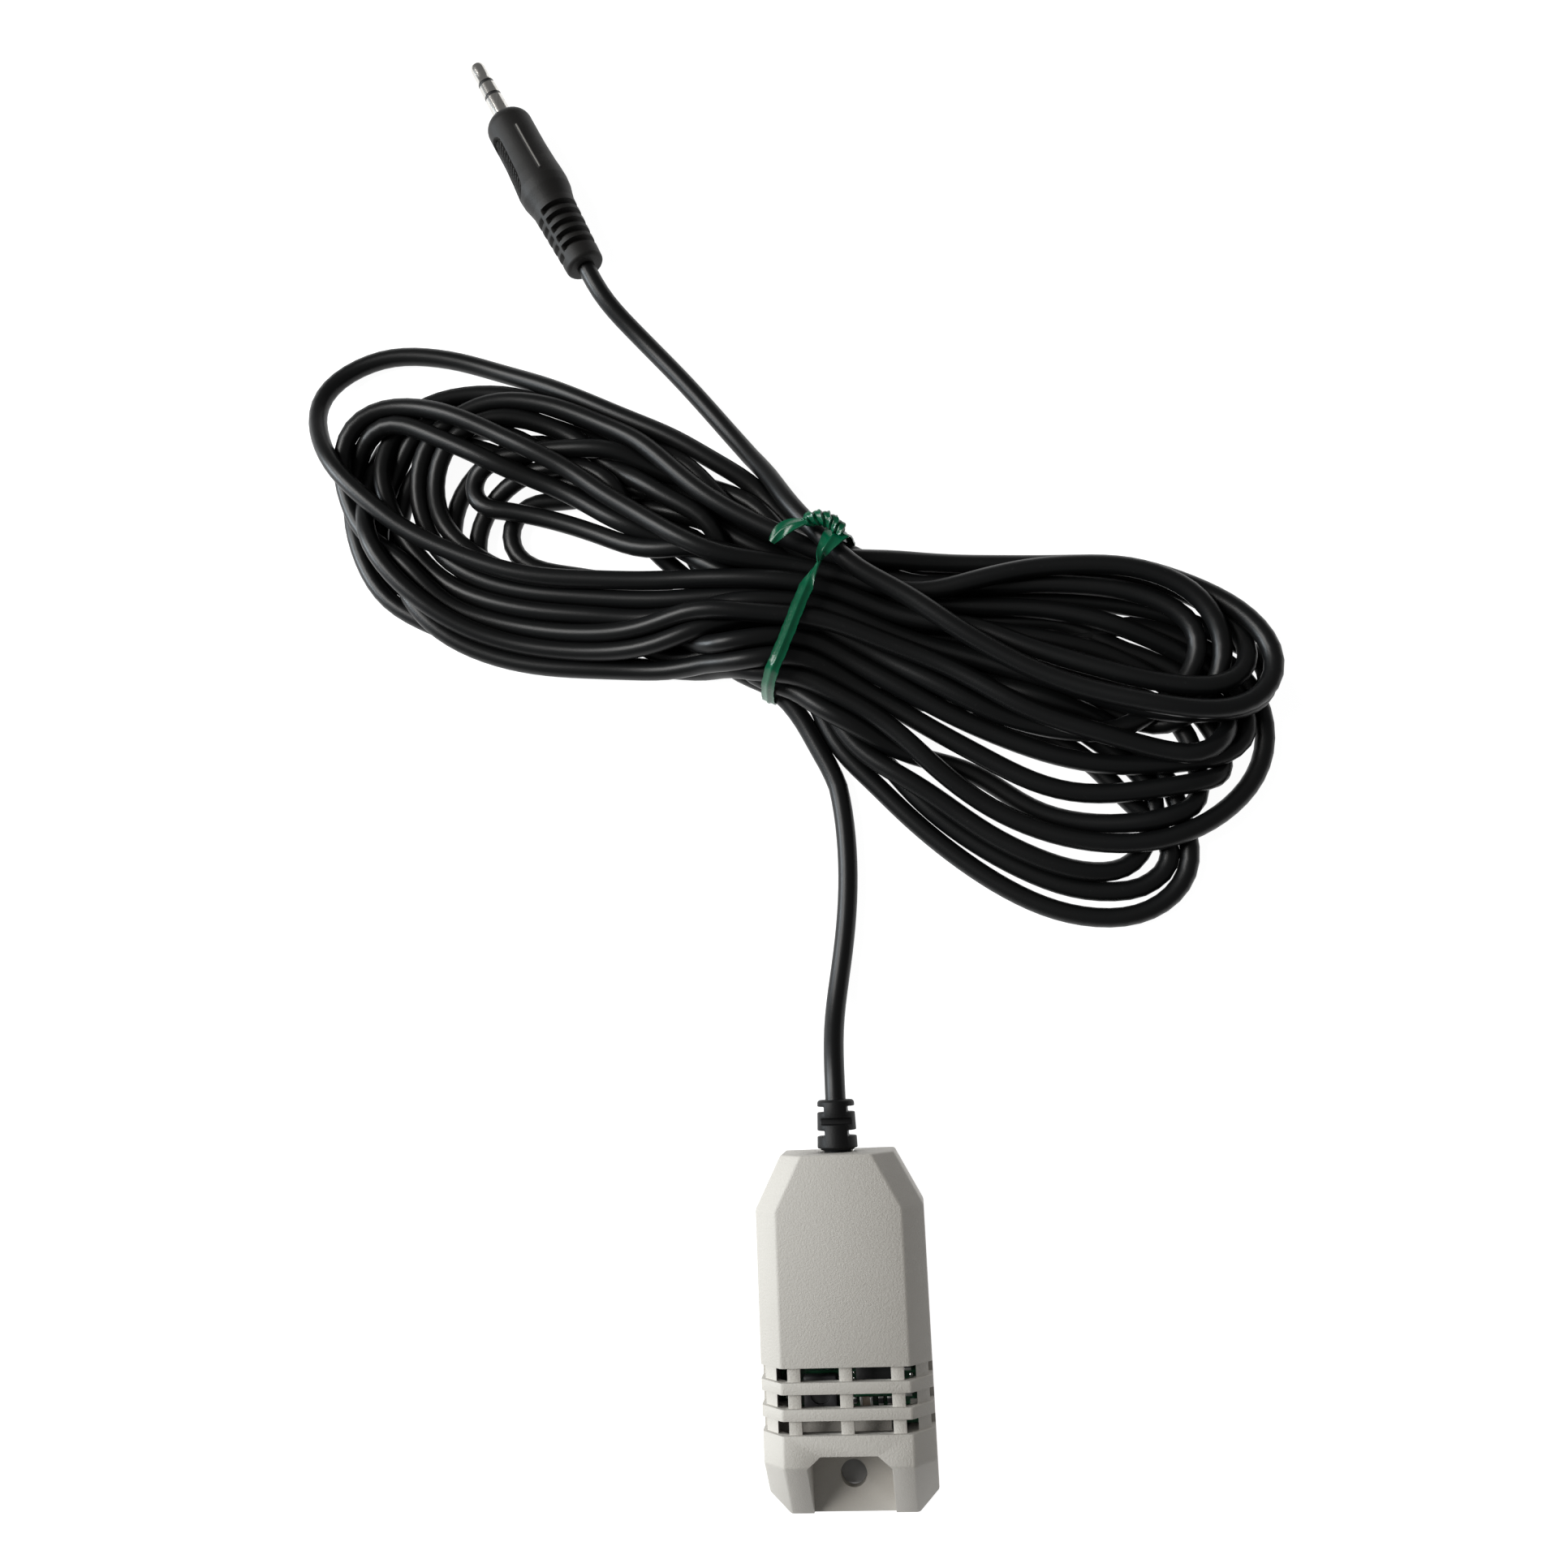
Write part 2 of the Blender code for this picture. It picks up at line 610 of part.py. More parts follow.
def make_cover_screws():
    """Countersunk cross-head screws, driven from the back up into the bosses."""
    steel = finish_material("screw_steel", STEEL, 0.35, 1.0)
    head, shank = SCREW_HEAD_DIAMETER / 2, SCREW_DIAMETER / 2
    drop = head - shank
    point = SCREW_LENGTH - shank
    profile = [
        (0, SCREW_LENGTH), (shank / 3, SCREW_LENGTH), (shank, point),
        (shank, drop), (head, 0), (0, 0),
    ]
    for name, place in zip(("cover_screw_left", "cover_screw_right"), BOSS_PLACES):
        screw = turned(name, profile, steel, steps=20)
        screw.location = (*place, SCREW_SINK)
        bm = bmesh.new()
        arm, half = head * 0.6, head * 0.13
        low, high = SCREW_SINK - CUT, SCREW_SINK + drop * 0.8
        box(bm, (place[0] - arm, place[1] - half, low), (place[0] + arm, place[1] + half, high))
        cross = object_of(f"{name}_cross", bm, cutter=True)
        bm = bmesh.new()
        box(bm, (place[0] - half, place[1] - arm, low), (place[0] + half, place[1] + arm, high))
        boolean(cross, object_of(f"{name}_cross_arm", bm, cutter=True), "UNION")
        boolean(screw, cross)


def make_board():
    green = finish_material("board_green", BOARD_GREEN, 0.4)
    outline = plan_outline(WALL + BOARD_SIDE_GAP, BOARD_END)
    limit = CABLE_END - WALL - BOARD_TOP_GAP
    bm = bmesh.new()
    prism(bm, outline, BOARD_HEIGHT, BOARD_TOP)
    slice_off(bm, (0, limit, 0), (0, 1, 0))
    board = object_of("circuit_board", bm, green)
    bm = bmesh.new()
    for place in BOSS_PLACES:
        cylinder(bm, place, BOARD_HEIGHT - CUT, BOARD_TOP + CUT, SCREW_DIAMETER / 2 + FIT, sides=24)
    boolean(board, object_of("board_holes", bm, cutter=True))


def make_chip():
    """The controller in its leaded package, lying across the board behind the first two slots."""
    black = finish_material("chip_black", CHIP_BLACK, 0.45)
    foot = BOARD_TOP + SOLDER_GAP
    seat = foot + CHIP_STAND
    x, y = BOARD_MIDDLE_HALF / 2, FIRST_SLOT - SLOT_WIDTH
    low = (x - CHIP_LENGTH / 2, y - CHIP_WIDTH / 2, seat)
    high = (x + CHIP_LENGTH / 2, y + CHIP_WIDTH / 2, seat + CHIP_THICKNESS)
    bm = bmesh.new()
    box(bm, low, high)
    chip = object_of("controller_chip", bm, black)

    thick, middle, root = CHIP_LEAD_THICKNESS, seat + CHIP_THICKNESS / 2, -CHIP_LEAD_WIDTH
    profile = [
        (root, middle), (2 * thick, middle), (2 * thick, foot + thick),
        (CHIP_LEAD_REACH, foot + thick), (CHIP_LEAD_REACH, foot), (thick, foot),
        (thick, middle - thick), (root, middle - thick),
    ]
    bm = bmesh.new()
    for side in (-1, 1):
        edge = y + side * CHIP_WIDTH / 2
        for index in range(CHIP_LEADS_A_SIDE):
            left = x + (index - (CHIP_LEADS_A_SIDE - 1) / 2) * CHIP_LEAD_PITCH - CHIP_LEAD_WIDTH / 2
            corners = [bm.verts.new((left, edge + side * out, z)) for out, z in profile]
            extrude(bm, bm.faces.new(corners), (CHIP_LEAD_WIDTH, 0, 0))
    boolean(chip, object_of("chip_leads", bm, cutter=True), "UNION")


def make_humidity_sensor():
    """A square moulded cell with a round window sunk into its face."""
    grey = finish_material("sensor_grey", SENSOR_GREY, 0.4)
    seat = BOARD_TOP + SOLDER_GAP
    x, y = -BOARD_MIDDLE_HALF / 2, FIRST_SLOT - SLOT_PITCH - SLOT_WIDTH / 2
    half = SENSOR_SIZE / 2
    bm = bmesh.new()
    box(bm, (x - half, y - half, seat), (x + half, y + half, seat + SENSOR_THICKNESS))
    sensor = object_of("humidity_sensor", bm, grey)
    soften = sensor.modifiers.new("soft corners", "BEVEL")
    soften.width = EDGE_RADIUS
    soften.segments = 2
    bm = bmesh.new()
    top = seat + SENSOR_THICKNESS
    cylinder(bm, (x, y), top - SENSOR_WINDOW_DEPTH, top + CUT, SENSOR_WINDOW_DIAMETER / 2, sides=24)
    boolean(sensor, object_of("sensor_window", bm, cutter=True))


def make_temperature_sensor():
    """A glass bead thermistor standing on its two leads."""
    glass = finish_material("bead_glass", BEAD_AMBER, 0.15)
    seat = BOARD_TOP + SOLDER_GAP
    x, y = RIB_PITCH - BEAD_LEAD_DIAMETER / 2, CAVITY_END + SENSOR_SIZE / 2
    radius = BEAD_DIAMETER / 2
    bm = bmesh.new()
    place = Matrix.Translation((x, y, seat + BEAD_STAND)) @ Matrix.Diagonal((1.3, 1.0, 1.0, 1.0))
    bmesh.ops.create_uvsphere(bm, u_segments=16, v_segments=10, radius=radius, matrix=place)
    bead = object_of("temperature_sensor", bm, glass, smooth=True)
    bm = bmesh.new()
    for side in (-1, 1):
        foot = (x + side * radius * 0.8, y)
        cylinder(bm, foot, seat, seat + BEAD_STAND, BEAD_LEAD_DIAMETER / 2, sides=10)
    boolean(bead, object_of("bead_leads", bm, cutter=True), "UNION")


def make_chip_parts():
    """Small two-ended parts soldered flat on the board: a dog-bone section, drawn out to its width."""
    dark = finish_material("resistor_black", RESISTOR_BLACK, 0.4)
    brown = finish_material("capacitor_brown", CAPACITOR_BROWN, 0.5)
    outer = EDGE_PART_PLACE
    first, second = (slot_span(index)[0] + SLOT_WIDTH / 2 for index in range(2))
    upright = math.pi / 2
    places = {
        "chip_resistor_1": (outer, first, upright, dark),
        "chip_resistor_2": (outer, second, upright, dark),
        "chip_resistor_3": (-outer, second, upright, dark),
        "chip_capacitor_1": (-RIB_WIDTH, first + CHIP_PART_LENGTH / 2, upright, brown),
        "chip_capacitor_2": (RIB_PITCH / 2 - CHIP_PART_WIDTH, second - 1.6 * MM, 0.0, brown),
        "chip_capacitor_3": (-RIB_PITCH / 2, first + SLOT_WIDTH, 0.0, brown),
    }
    seat = BOARD_TOP + SOLDER_GAP
    half, cap, step = CHIP_PART_LENGTH / 2, CHIP_PART_CAP, CHIP_PART_STEP
    section = [
        (-half, 0), (-half, CHIP_PART_HEIGHT), (-half + cap, CHIP_PART_HEIGHT),
        (-half + cap, CHIP_PART_HEIGHT - step), (half - cap, CHIP_PART_HEIGHT - step),
        (half - cap, CHIP_PART_HEIGHT), (half, CHIP_PART_HEIGHT), (half, 0),
        (half - cap, 0), (half - cap, step), (-half + cap, step), (-half + cap, 0),
    ]
    for name, (x, y, turn, material) in places.items():
        bm = bmesh.new()
        prism(bm, section, -CHIP_PART_WIDTH / 2, CHIP_PART_WIDTH / 2)
        part = object_of(name, bm, material)
        part.location = (x, y, seat)
        part.rotation_euler = (math.pi / 2, 0, turn)


def make_strain_relief():
    """The soft sleeve moulded on the cord: a notched boot outside, a neck and a flange inside."""
    rubber = finish_material("relief_rubber", BLACK_PLASTIC, 0.5)
    boot, end = RELIEF_DIAMETER / 2, RELIEF_END_DIAMETER / 2
    neck, flange = RELIEF_NECK_DIAMETER / 2, RELIEF_FLANGE_DIAMETER / 2
    inside = -WALL - FIT
    profile = [
        (0, RELIEF_LENGTH), (end - 0.3 * MM, RELIEF_LENGTH), (end, RELIEF_LENGTH - 0.3 * MM),
        (boot, 0.9 * MM), (boot, 0.6 * MM), (boot - 0.5 * MM, 0.6 * MM), (boot - 0.5 * MM, FIT),
        (neck, FIT), (neck, inside), (flange, inside), (flange, inside - RELIEF_FLANGE_THICKNESS),
        (0, inside - RELIEF_FLANGE_THICKNESS),
    ]
    relief = turned("strain_relief", profile, rubber, steps=32)
    relief.rotation_euler = (-math.pi / 2, 0, 0)
    relief.location = (0, CABLE_END, CORD_AXIS_HEIGHT)
    core = RELIEF_CORE / 2
    bm = bmesh.new()
    for centre in (RELIEF_LENGTH * 0.36, RELIEF_LENGTH * 0.82):
        low, high = CABLE_END + centre - RELIEF_NOTCH / 2, CABLE_END + centre + RELIEF_NOTCH / 2
        for side in (-1, 1):
            x = sorted((side * core, side * RELIEF_DIAMETER))
            box(bm, (x[0], low, 0), (x[1], high, 2 * CORD_AXIS_HEIGHT))
    centre = CABLE_END + RELIEF_LENGTH * 0.59
    for side in (-1, 1):
        z = sorted((CORD_AXIS_HEIGHT + side * core, CORD_AXIS_HEIGHT + side * RELIEF_DIAMETER))
        low = (-RELIEF_DIAMETER, centre - RELIEF_SLOT / 2, z[0])
        box(bm, low, (RELIEF_DIAMETER, centre + RELIEF_SLOT / 2, z[1]))
    boolean(relief, object_of("relief_notches", bm, cutter=True))


def make_wires():
    """Three insulated conductors, from the flange's inner face to pads on the board."""
    start = CABLE_END - WALL - RELIEF_FLANGE_THICKNESS - 2 * FIT
    end = CABLE_END - WALL - BOARD_TOP_GAP - WIRE_STRIP
    landing = BOARD_TOP + SOLDER_GAP + WIRE_DIAMETER / 2
    height = CORD_AXIS_HEIGHT + WIRE_SPACING
    slack = WIRE_DIAMETER / 2
    for index, (name, colour) in enumerate(WIRE_COLOURS.items()):
        x = (index - 1) * WIRE_SPACING
        route = [
            Vector((x, start, height)), Vector((x, start - WIRE_SPACING, height)),
            Vector((x, start - 2 * WIRE_SPACING, height + slack)),
            Vector((x, end + WIRE_SPACING, landing + slack)), Vector((x, end, landing)),
            Vector((x, end - WIRE_SPACING, landing)),
        ]
        material = finish_material(f"{name}_sleeve", colour, 0.45)
        tube(name, smooth_route(route, WIRE_DIAMETER), WIRE_DIAMETER, material)


def in_metres(points):
    return [Vector(point) * MM for point in points]


def make_cord():
    """The cord's two free stretches and, between them, the outer shape of its hank."""
    jacket = finish_material("cord_jacket", BLACK_PLASTIC, 0.4)
    gap = Vector((0, FIT, 0))
    probe = in_metres(PROBE_LEAD)
    probe[0] = Vector((0, CABLE_END + RELIEF_LENGTH, CORD_AXIS_HEIGHT)) + gap
    tube("cord_probe_lead", smooth_route(probe, LEAD_SPACING), CORD_DIAMETER, jacket)
    plug = in_metres(PLUG_LEAD)
    along = (PLUG_END_PLACE - PLUG_TIP_PLACE).normalized()
    plug[0] = PLUG_END_PLACE + along * 2 * FIT + Vector((0, 0, SHOULDER_DIAMETER / 2))
    jacket = finish_material("plug_lead_jacket", BLACK_PLASTIC, 0.4)
    tube("cord_plug_lead", smooth_route(plug, LEAD_SPACING), CORD_DIAMETER, jacket)

    jacket = finish_material("hank_jacket", BLACK_PLASTIC, 0.4)
    curve = bpy.data.curves.new("hank_outline", "CURVE")
    curve.dimensions = "2D"
    curve.fill_mode = "BOTH"
    curve.resolution_u = 4
    curve.extrude = HANK_HEIGHT / 2 - HANK_EDGE
    curve.bevel_depth = HANK_EDGE
    curve.bevel_resolution = 1
    curve.offset = -HANK_EDGE
    spline = curve.splines.new("BEZIER")
    spline.bezier_points.add(len(HANK_OUTLINE) - 1)
    for point, (x, y) in zip(spline.bezier_points, HANK_OUTLINE):
        point.co = (x * MM, y * MM, 0)
        point.handle_left_type = point.handle_right_type = "AUTO"
    spline.use_cyclic_u = True
    curve.materials.append(jacket)
    guide = link(bpy.data.objects.new("hank_outline", curve), False)
    guide.location.z = HANK_BOTTOM + HANK_HEIGHT / 2
    solid_from_curve(guide, "cord_hank")


def solid_from_curve(guide, name):
    """Makes a curve's shape a closed mesh object and removes the curve."""
    bpy.context.view_layer.update()
    graph = bpy.context.evaluated_depsgraph_get()
    mesh = bpy.data.meshes.new_from_object(guide.evaluated_get(graph))
    bm = bmesh.new()
    bm.from_mesh(mesh)
    bmesh.ops.remove_doubles(bm, verts=bm.verts, dist=1e-6)
    bm.to_mesh(mesh)
    bm.free()
    solid = bpy.data.objects.new(name, mesh)
    solid.matrix_world = guide.matrix_world
    bpy.data.objects.remove(guide)
    return link(solid, False)


def make_tie():
    """A flat plastic-covered wire, wrapped once round the waist and twisted shut on top."""
    green = finish_material("tie_green", TIE_GREEN, 0.35)
    high = HANK_BOTTOM + HANK_HEIGHT + FIT + TIE_THICKNESS / 2
    pieces = [ribbon_loop("twist_tie", tie_section(TIE_THICKNESS / 2, high), green)]

    start = TIE_TWIST_START.to_3d() + Vector((0, 0, high + TIE_TWIST_RADIUS / 2))
    end = TIE_TWIST_END.to_3d() + Vector((0, 0, high + TIE_TWIST_RADIUS))
    bm = bmesh.new()
    twisted_bar(bm, start, end)
    pieces.append(object_of("tie_twist", bm, cutter=True))

    for index, tip in enumerate(TIE_FREE_ENDS):
        along = (tip - TIE_TWIST_END).normalized()
        side = Vector((-along.y, along.x)) * TIE_WIDTH / 2
        neck = tip - along * TIE_WIDTH
        outline = [TIE_TWIST_END - side, neck - side, tip, neck + side, TIE_TWIST_END + side]
        bm = bmesh.new()
        prism(bm, outline, end.z - TIE_THICKNESS / 2, end.z + TIE_THICKNESS / 2)
        pieces.append(object_of(f"tie_free_end_{index + 1}", bm, cutter=True))

    for piece in pieces:
        piece.location = WAIST
        piece.rotation_euler = (0, 0, WAIST_TURN)
    for piece in pieces[1:]:
        boolean(pieces[0], piece, "UNION")


def tie_section(low, high):
    """The band's loop across the hank: a rectangle with rounded corners, as (across, height) points."""
    half = WAIST_WIDTH / 2 + FIT - TIE_CORNER
    low, high = low + TIE_CORNER, high - TIE_CORNER
    section = []
    for across, height, start in ((half, high, 0), (-half, high, 90), (-half, low, 180), (half, low, 270)):
        for step in range(5):
            angle = math.radians(start + step * 22.5)
            section.append((across + TIE_CORNER * math.cos(angle), height + TIE_CORNER * math.sin(angle)))
    return section


def ribbon_loop(name, section, material):
    """A closed loop of flat ribbon whose middle follows (across, height) points, wide along X."""
    bm = bmesh.new()
    loops = []
    for offset in (-0.5, 0.5):
        ring = []
        for index, (across, height) in enumerate(section):
            before, after = section[index - 1], section[(index + 1) % len(section)]
            tangent = Vector((after[0] - before[0], after[1] - before[1])).normalized()
            out = Vector((tangent.y, -tangent.x)) * TIE_THICKNESS * offset
            ring.append((across + out.x, height + out.y))
        loops.append(ring)
    rows = []
    for ring, x in ((loops[0], -1), (loops[1], -1), (loops[1], 1), (loops[0], 1)):
        points = [bm.verts.new((x * TIE_WIDTH / 2, across, height)) for across, height in ring]
        rows.append([bm.edges.new((a, b)) for a, b in zip(points, points[1:] + points[:1])])
    for first, second in zip(rows, rows[1:] + rows[:1]):
        bmesh.ops.bridge_loops(bm, edges=first + second)
    return object_of(name, bm, material)


def twisted_bar(bm, start, end, turns=1.5, steps=12):
    """A square bar twisted about its length: the tie's two ends wound on each other."""
    along = (end - start).normalized()
    side = along.cross(Vector((0, 0, 1))).normalized()
    up = side.cross(along)
    rings = []
    for step in range(steps + 1):
        share = step / steps
        centre = start.lerp(end, share)
        swell = TIE_TWIST_RADIUS * (0.8 + 0.3 * math.sin(math.pi * share))
        ring = []
        for corner in range(4):
            angle = 2 * math.pi * (turns * share) + math.pi / 2 * corner
            ring.append(bm.verts.new(centre + (side * math.cos(angle) + up * math.sin(angle)) * swell))
        rings.append([bm.edges.new((a, b)) for a, b in zip(ring, ring[1:] + ring[:1])])
    for first, second in zip(rings, rings[1:]):
        bmesh.ops.bridge_loops(bm, edges=first + second)
    bmesh.ops.edgeloop_fill(bm, edges=rings[0])
    bmesh.ops.edgeloop_fill(bm, edges=rings[-1])


def make_plug():
    """The moulded plug. Its frame's Z runs from the grip's front face out along the pin."""
    axis = (PLUG_TIP_PLACE - PLUG_END_PLACE).normalized()
    frame = bpy.data.objects.new("plug_frame", None)
    PARTS.objects.link(frame)
    frame.location = PLUG_TIP_PLACE - axis * PIN_LENGTH + Vector((0, 0, SHOULDER_DIAMETER / 2))
    frame.rotation_mode = "QUATERNION"
    frame.rotation_quaternion = axis.to_track_quat("Z", "Y")

    black = finish_material("plug_black", BLACK_PLASTIC, 0.45)
    grip, shoulder = GRIP_DIAMETER / 2, SHOULDER_DIAMETER / 2
    collar, end = PLUG_RELIEF_DIAMETER / 2, PLUG_RELIEF_END_DIAMETER / 2
    length = GRIP_LENGTH + PLUG_RELIEF_LENGTH
    bore = PIN_DIAMETER / 2 + FIT
    nose = PLUG_FRONT_RADIUS
    front = [
        (grip - nose + nose * math.sin(angle), -nose + nose * math.cos(angle))
        for angle in (math.radians(15 * step) for step in range(7))
    ]
    profile = [
        (0, -bore), (bore, -bore), (bore, 0), *front,
        (grip + 0.25 * MM, -GRIP_LENGTH * 0.6), (shoulder - 0.1 * MM, -GRIP_LENGTH * 0.74),
        (shoulder, -GRIP_LENGTH * 0.8), (shoulder - 0.15 * MM, -GRIP_LENGTH * 0.88),
        (collar + 0.15 * MM, -GRIP_LENGTH * 0.97), (collar, -GRIP_LENGTH),
        (end, -length + 0.6 * MM), (end - 0.6 * MM, -length), (0, -length),
    ]
    body = turned("plug_body", profile, black, steps=32, frame=frame)
    boolean(body, plug_grooves(frame))
    boolean(body, plug_grip_recesses(frame))
    boolean(body, plug_grip_ribs(frame), "UNION")
    make_pin(frame)


def plug_grooves(frame):
    """The relief's grooves: cut in from the top and bottom, and half a step on from the two sides."""
    core = PLUG_CORE_DIAMETER / 2
    reach = SHOULDER_DIAMETER
    bm = bmesh.new()
    for index in range(PLUG_GROOVES):
        middle = -GRIP_LENGTH - PLUG_GROOVE_WIDTH - PLUG_GROOVE_PITCH * index
        span = (middle - PLUG_GROOVE_WIDTH / 2, middle + PLUG_GROOVE_WIDTH / 2)
        for side in (-1, 1):
            y = sorted((side * core, side * reach))
            box(bm, (-reach, y[0], span[0]), (reach, y[1], span[1]))
        middle -= PLUG_GROOVE_PITCH / 2
        span = (middle - PLUG_GROOVE_WIDTH / 2, middle + PLUG_GROOVE_WIDTH / 2)
        for side in (-1, 1):
            x = sorted((side * core * 1.2, side * reach))
            box(bm, (x[0], -reach, span[0]), (x[1], reach, span[1]))
    grooves = object_of("plug_grooves", bm, cutter=True)
    grooves.parent = frame
    return grooves


def plug_grip_recesses(frame):
    """A long round-ended pad sunk into each side of the grip."""
    bm = bmesh.new()
    half, radius = GRIP_PAD_LENGTH / 2 - GRIP_PAD_WIDTH / 2, GRIP_PAD_WIDTH / 2
    outline = [
        (radius * math.sin(angle), half + radius * math.cos(angle))
        for angle in (math.radians(-90 + 22.5 * step) for step in range(9))
    ]
    outline += [(-y, -z) for y, z in outline]
    floor = GRIP_DIAMETER / 2 - GRIP_PAD_DEPTH
    for side in (-1, 1):
        points = [bm.verts.new((side * floor, y, GRIP_PAD_MIDDLE + z)) for y, z in outline]
        extrude(bm, bm.faces.new(points), (side * SHOULDER_DIAMETER, 0, 0))
    recesses = object_of("grip_recesses", bm, cutter=True)
    recesses.parent = frame
    return recesses


def plug_grip_ribs(frame):
    """Slanting ribs on the floor of each pad, and the raised line along the top of the grip."""
    bm = bmesh.new()
    floor = GRIP_DIAMETER / 2 - GRIP_PAD_DEPTH
    corner = Vector((GRIP_RIB_HEIGHT, GRIP_PAD_WIDTH * 0.4, GRIP_RIB_THICKNESS / 2))
    for side in (-1, 1):
        for index in range(GRIP_RIBS):
            along = GRIP_PAD_MIDDLE + (index - (GRIP_RIBS - 1) / 2) * GRIP_RIB_PITCH
            start = len(bm.verts)
            box(bm, -corner, corner)
            bm.verts.ensure_lookup_table()
            fresh = bm.verts[start:]
            turn = Matrix.Rotation(GRIP_RIB_LEAN, 3, "X")
            bmesh.ops.rotate(bm, cent=(0, 0, 0), matrix=turn, verts=fresh)
            bmesh.ops.translate(bm, vec=(side * floor, 0, along), verts=fresh)
    half, length, top = GRIP_LINE_WIDTH / 2, GRIP_LINE_LENGTH / 2, GRIP_DIAMETER / 2
    low = (-half, top - GRIP_PAD_DEPTH, GRIP_PAD_MIDDLE - length)
    box(bm, low, (half, top + half, GRIP_PAD_MIDDLE + length))
    ribs = object_of("grip_ribs", bm, cutter=True)
    ribs.parent = frame
    return ribs


def make_pin(frame):
    """Tip, ring and sleeve on one axis, each held to the next by an insulating ring."""
    radius, core = PIN_DIAMETER / 2, PIN_CORE_DIAMETER / 2
    plate = finish_material("pin_nickel", STEEL, 0.18, 1.0)
    dark = finish_material("pin_insulator", BLACK_PLASTIC, 0.4)
    bore = core + FIT / 2
    tip_base = PIN_LENGTH - TIP_LENGTH
    neck = 0.55 * radius
    tip = [
        (0, PIN_LENGTH), (0.35 * radius, PIN_LENGTH - 0.05 * MM), (0.8 * radius, PIN_LENGTH - 0.6 * MM),
        (radius, PIN_LENGTH - 1.25 * MM), (radius * 0.98, PIN_LENGTH - 1.6 * MM),
        (neck + 0.25 * MM, PIN_LENGTH - 2.5 * MM), (neck + 0.25 * MM, PIN_LENGTH - 2.75 * MM),
        (radius, tip_base + 0.35 * MM), (radius, tip_base), (0, tip_base),
    ]
    turned("plug_tip", tip, plate, frame=frame)
    top = tip_base - SOLDER_GAP
    pieces = (
        ("plug_insulator_front", INSULATOR_LENGTH, dark, radius - 0.05 * MM),
        ("plug_ring", RING_LENGTH, plate, radius),
        ("plug_insulator_rear", INSULATOR_LENGTH, dark, radius - 0.05 * MM),
    )
    for name, length, material, outer in pieces:
        low = top - length
        turned(name, [(0, top), (outer, top), (outer, low), (0, low)], material, frame=frame)
        top = low - SOLDER_GAP
    root = FIT - PIN_DIAMETER / 2
    turned("plug_sleeve", [(0, top), (radius, top), (radius, root), (0, root)], plate, frame=frame)


make_front_cover()
make_back_cover()
make_cover_screws()
make_board()
make_chip()
make_humidity_sensor()
make_temperature_sensor()
make_chip_parts()
make_strain_relief()
make_wires()
make_cord()
make_tie()
make_plug()
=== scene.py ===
import math

import bmesh
import bpy
import numpy as np
from mathutils import Matrix, Vector


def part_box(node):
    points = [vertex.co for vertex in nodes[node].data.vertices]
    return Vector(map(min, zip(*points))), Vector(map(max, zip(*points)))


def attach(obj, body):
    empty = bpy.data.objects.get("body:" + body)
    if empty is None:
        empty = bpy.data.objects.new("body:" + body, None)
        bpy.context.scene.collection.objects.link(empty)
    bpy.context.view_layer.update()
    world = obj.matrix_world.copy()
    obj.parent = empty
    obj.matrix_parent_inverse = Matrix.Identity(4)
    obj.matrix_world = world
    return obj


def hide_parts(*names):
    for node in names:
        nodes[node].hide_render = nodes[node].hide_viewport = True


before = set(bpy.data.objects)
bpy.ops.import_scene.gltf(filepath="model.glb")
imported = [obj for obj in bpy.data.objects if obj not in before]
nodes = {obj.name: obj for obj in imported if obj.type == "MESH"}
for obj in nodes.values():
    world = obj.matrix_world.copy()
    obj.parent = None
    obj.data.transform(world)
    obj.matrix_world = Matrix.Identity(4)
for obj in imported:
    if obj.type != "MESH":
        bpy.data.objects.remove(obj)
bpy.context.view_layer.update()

MM = 0.001


# The camera looks almost straight down, a little from the cable end and from the right, as in the
# photograph. Its place and turn were fitted to the housing and to the plug's standard sizes.
camera = bpy.data.objects.new("camera", bpy.data.cameras.new("camera"))
camera.data.lens = 32.24
camera.data.sensor_width = 36.0
camera.data.clip_start = 0.01
right, up, backward = (0.9951, -0.0398, -0.0904), (0.0555, 0.9824, 0.1786), (0.0817, -0.1827, 0.9798)
turn = Matrix((right, up, backward)).transposed().to_4x4()
camera.matrix_world = Matrix.Translation((0.01319, 0.04492, 0.2404)) @ turn
bpy.context.collection.objects.link(camera)
bpy.context.scene.camera = camera


# The cord is about 4.6 m of round three-core cable in a soft black jacket. It is wound in thirteen
# turns, gathered in the middle by the tie, and its two free ends lead to the probe and the plug.
CORD_RADIUS = 1.675
BETWEEN_POINTS = 2.2
CORD_END = (0.0, 34.4, 6.5)
PROBE_LEAD = [
    (0.0, 36.2, 6.5), (0.0, 38.7, 6.4), (0.0, 41.6, 5.7), (0.0, 45.4, 4.2), (0.4, 50.2, 2.5),
    (1.6, 57.0, 1.7), (2.9, 65.0, 1.7), (3.6, 73.0, 1.7), (3.6, 79.0, 1.7), (2.9, 87.0, 1.7),
    (0.6, 95.6, 1.7), (-2.6, 101.2, 2.0),
]
PLUG_LEAD = [
    (6.4, 125.6, 11.8), (2.2, 130.6, 11.6), (-1.6, 135.0, 10.8), (-5.6, 141.2, 8.0), (-8.4, 146.4, 5.2),
    (-11.8, 151.5, 3.2), (-16.6, 158.3, 1.9), (-22.4, 165.9, 1.7), (-28.4, 173.1, 1.8), (-33.0, 178.4, 2.9),
    (-35.8, 181.6, 4.2), (-37.4, 184.1, 4.9), (-38.6, 186.7, 5.0), (-39.8, 189.3, 5.0),
]
TIE_MIDDLE = np.array([-3.0, 119.0])
ACROSS_HANK = np.array([0.4587, 0.8886])
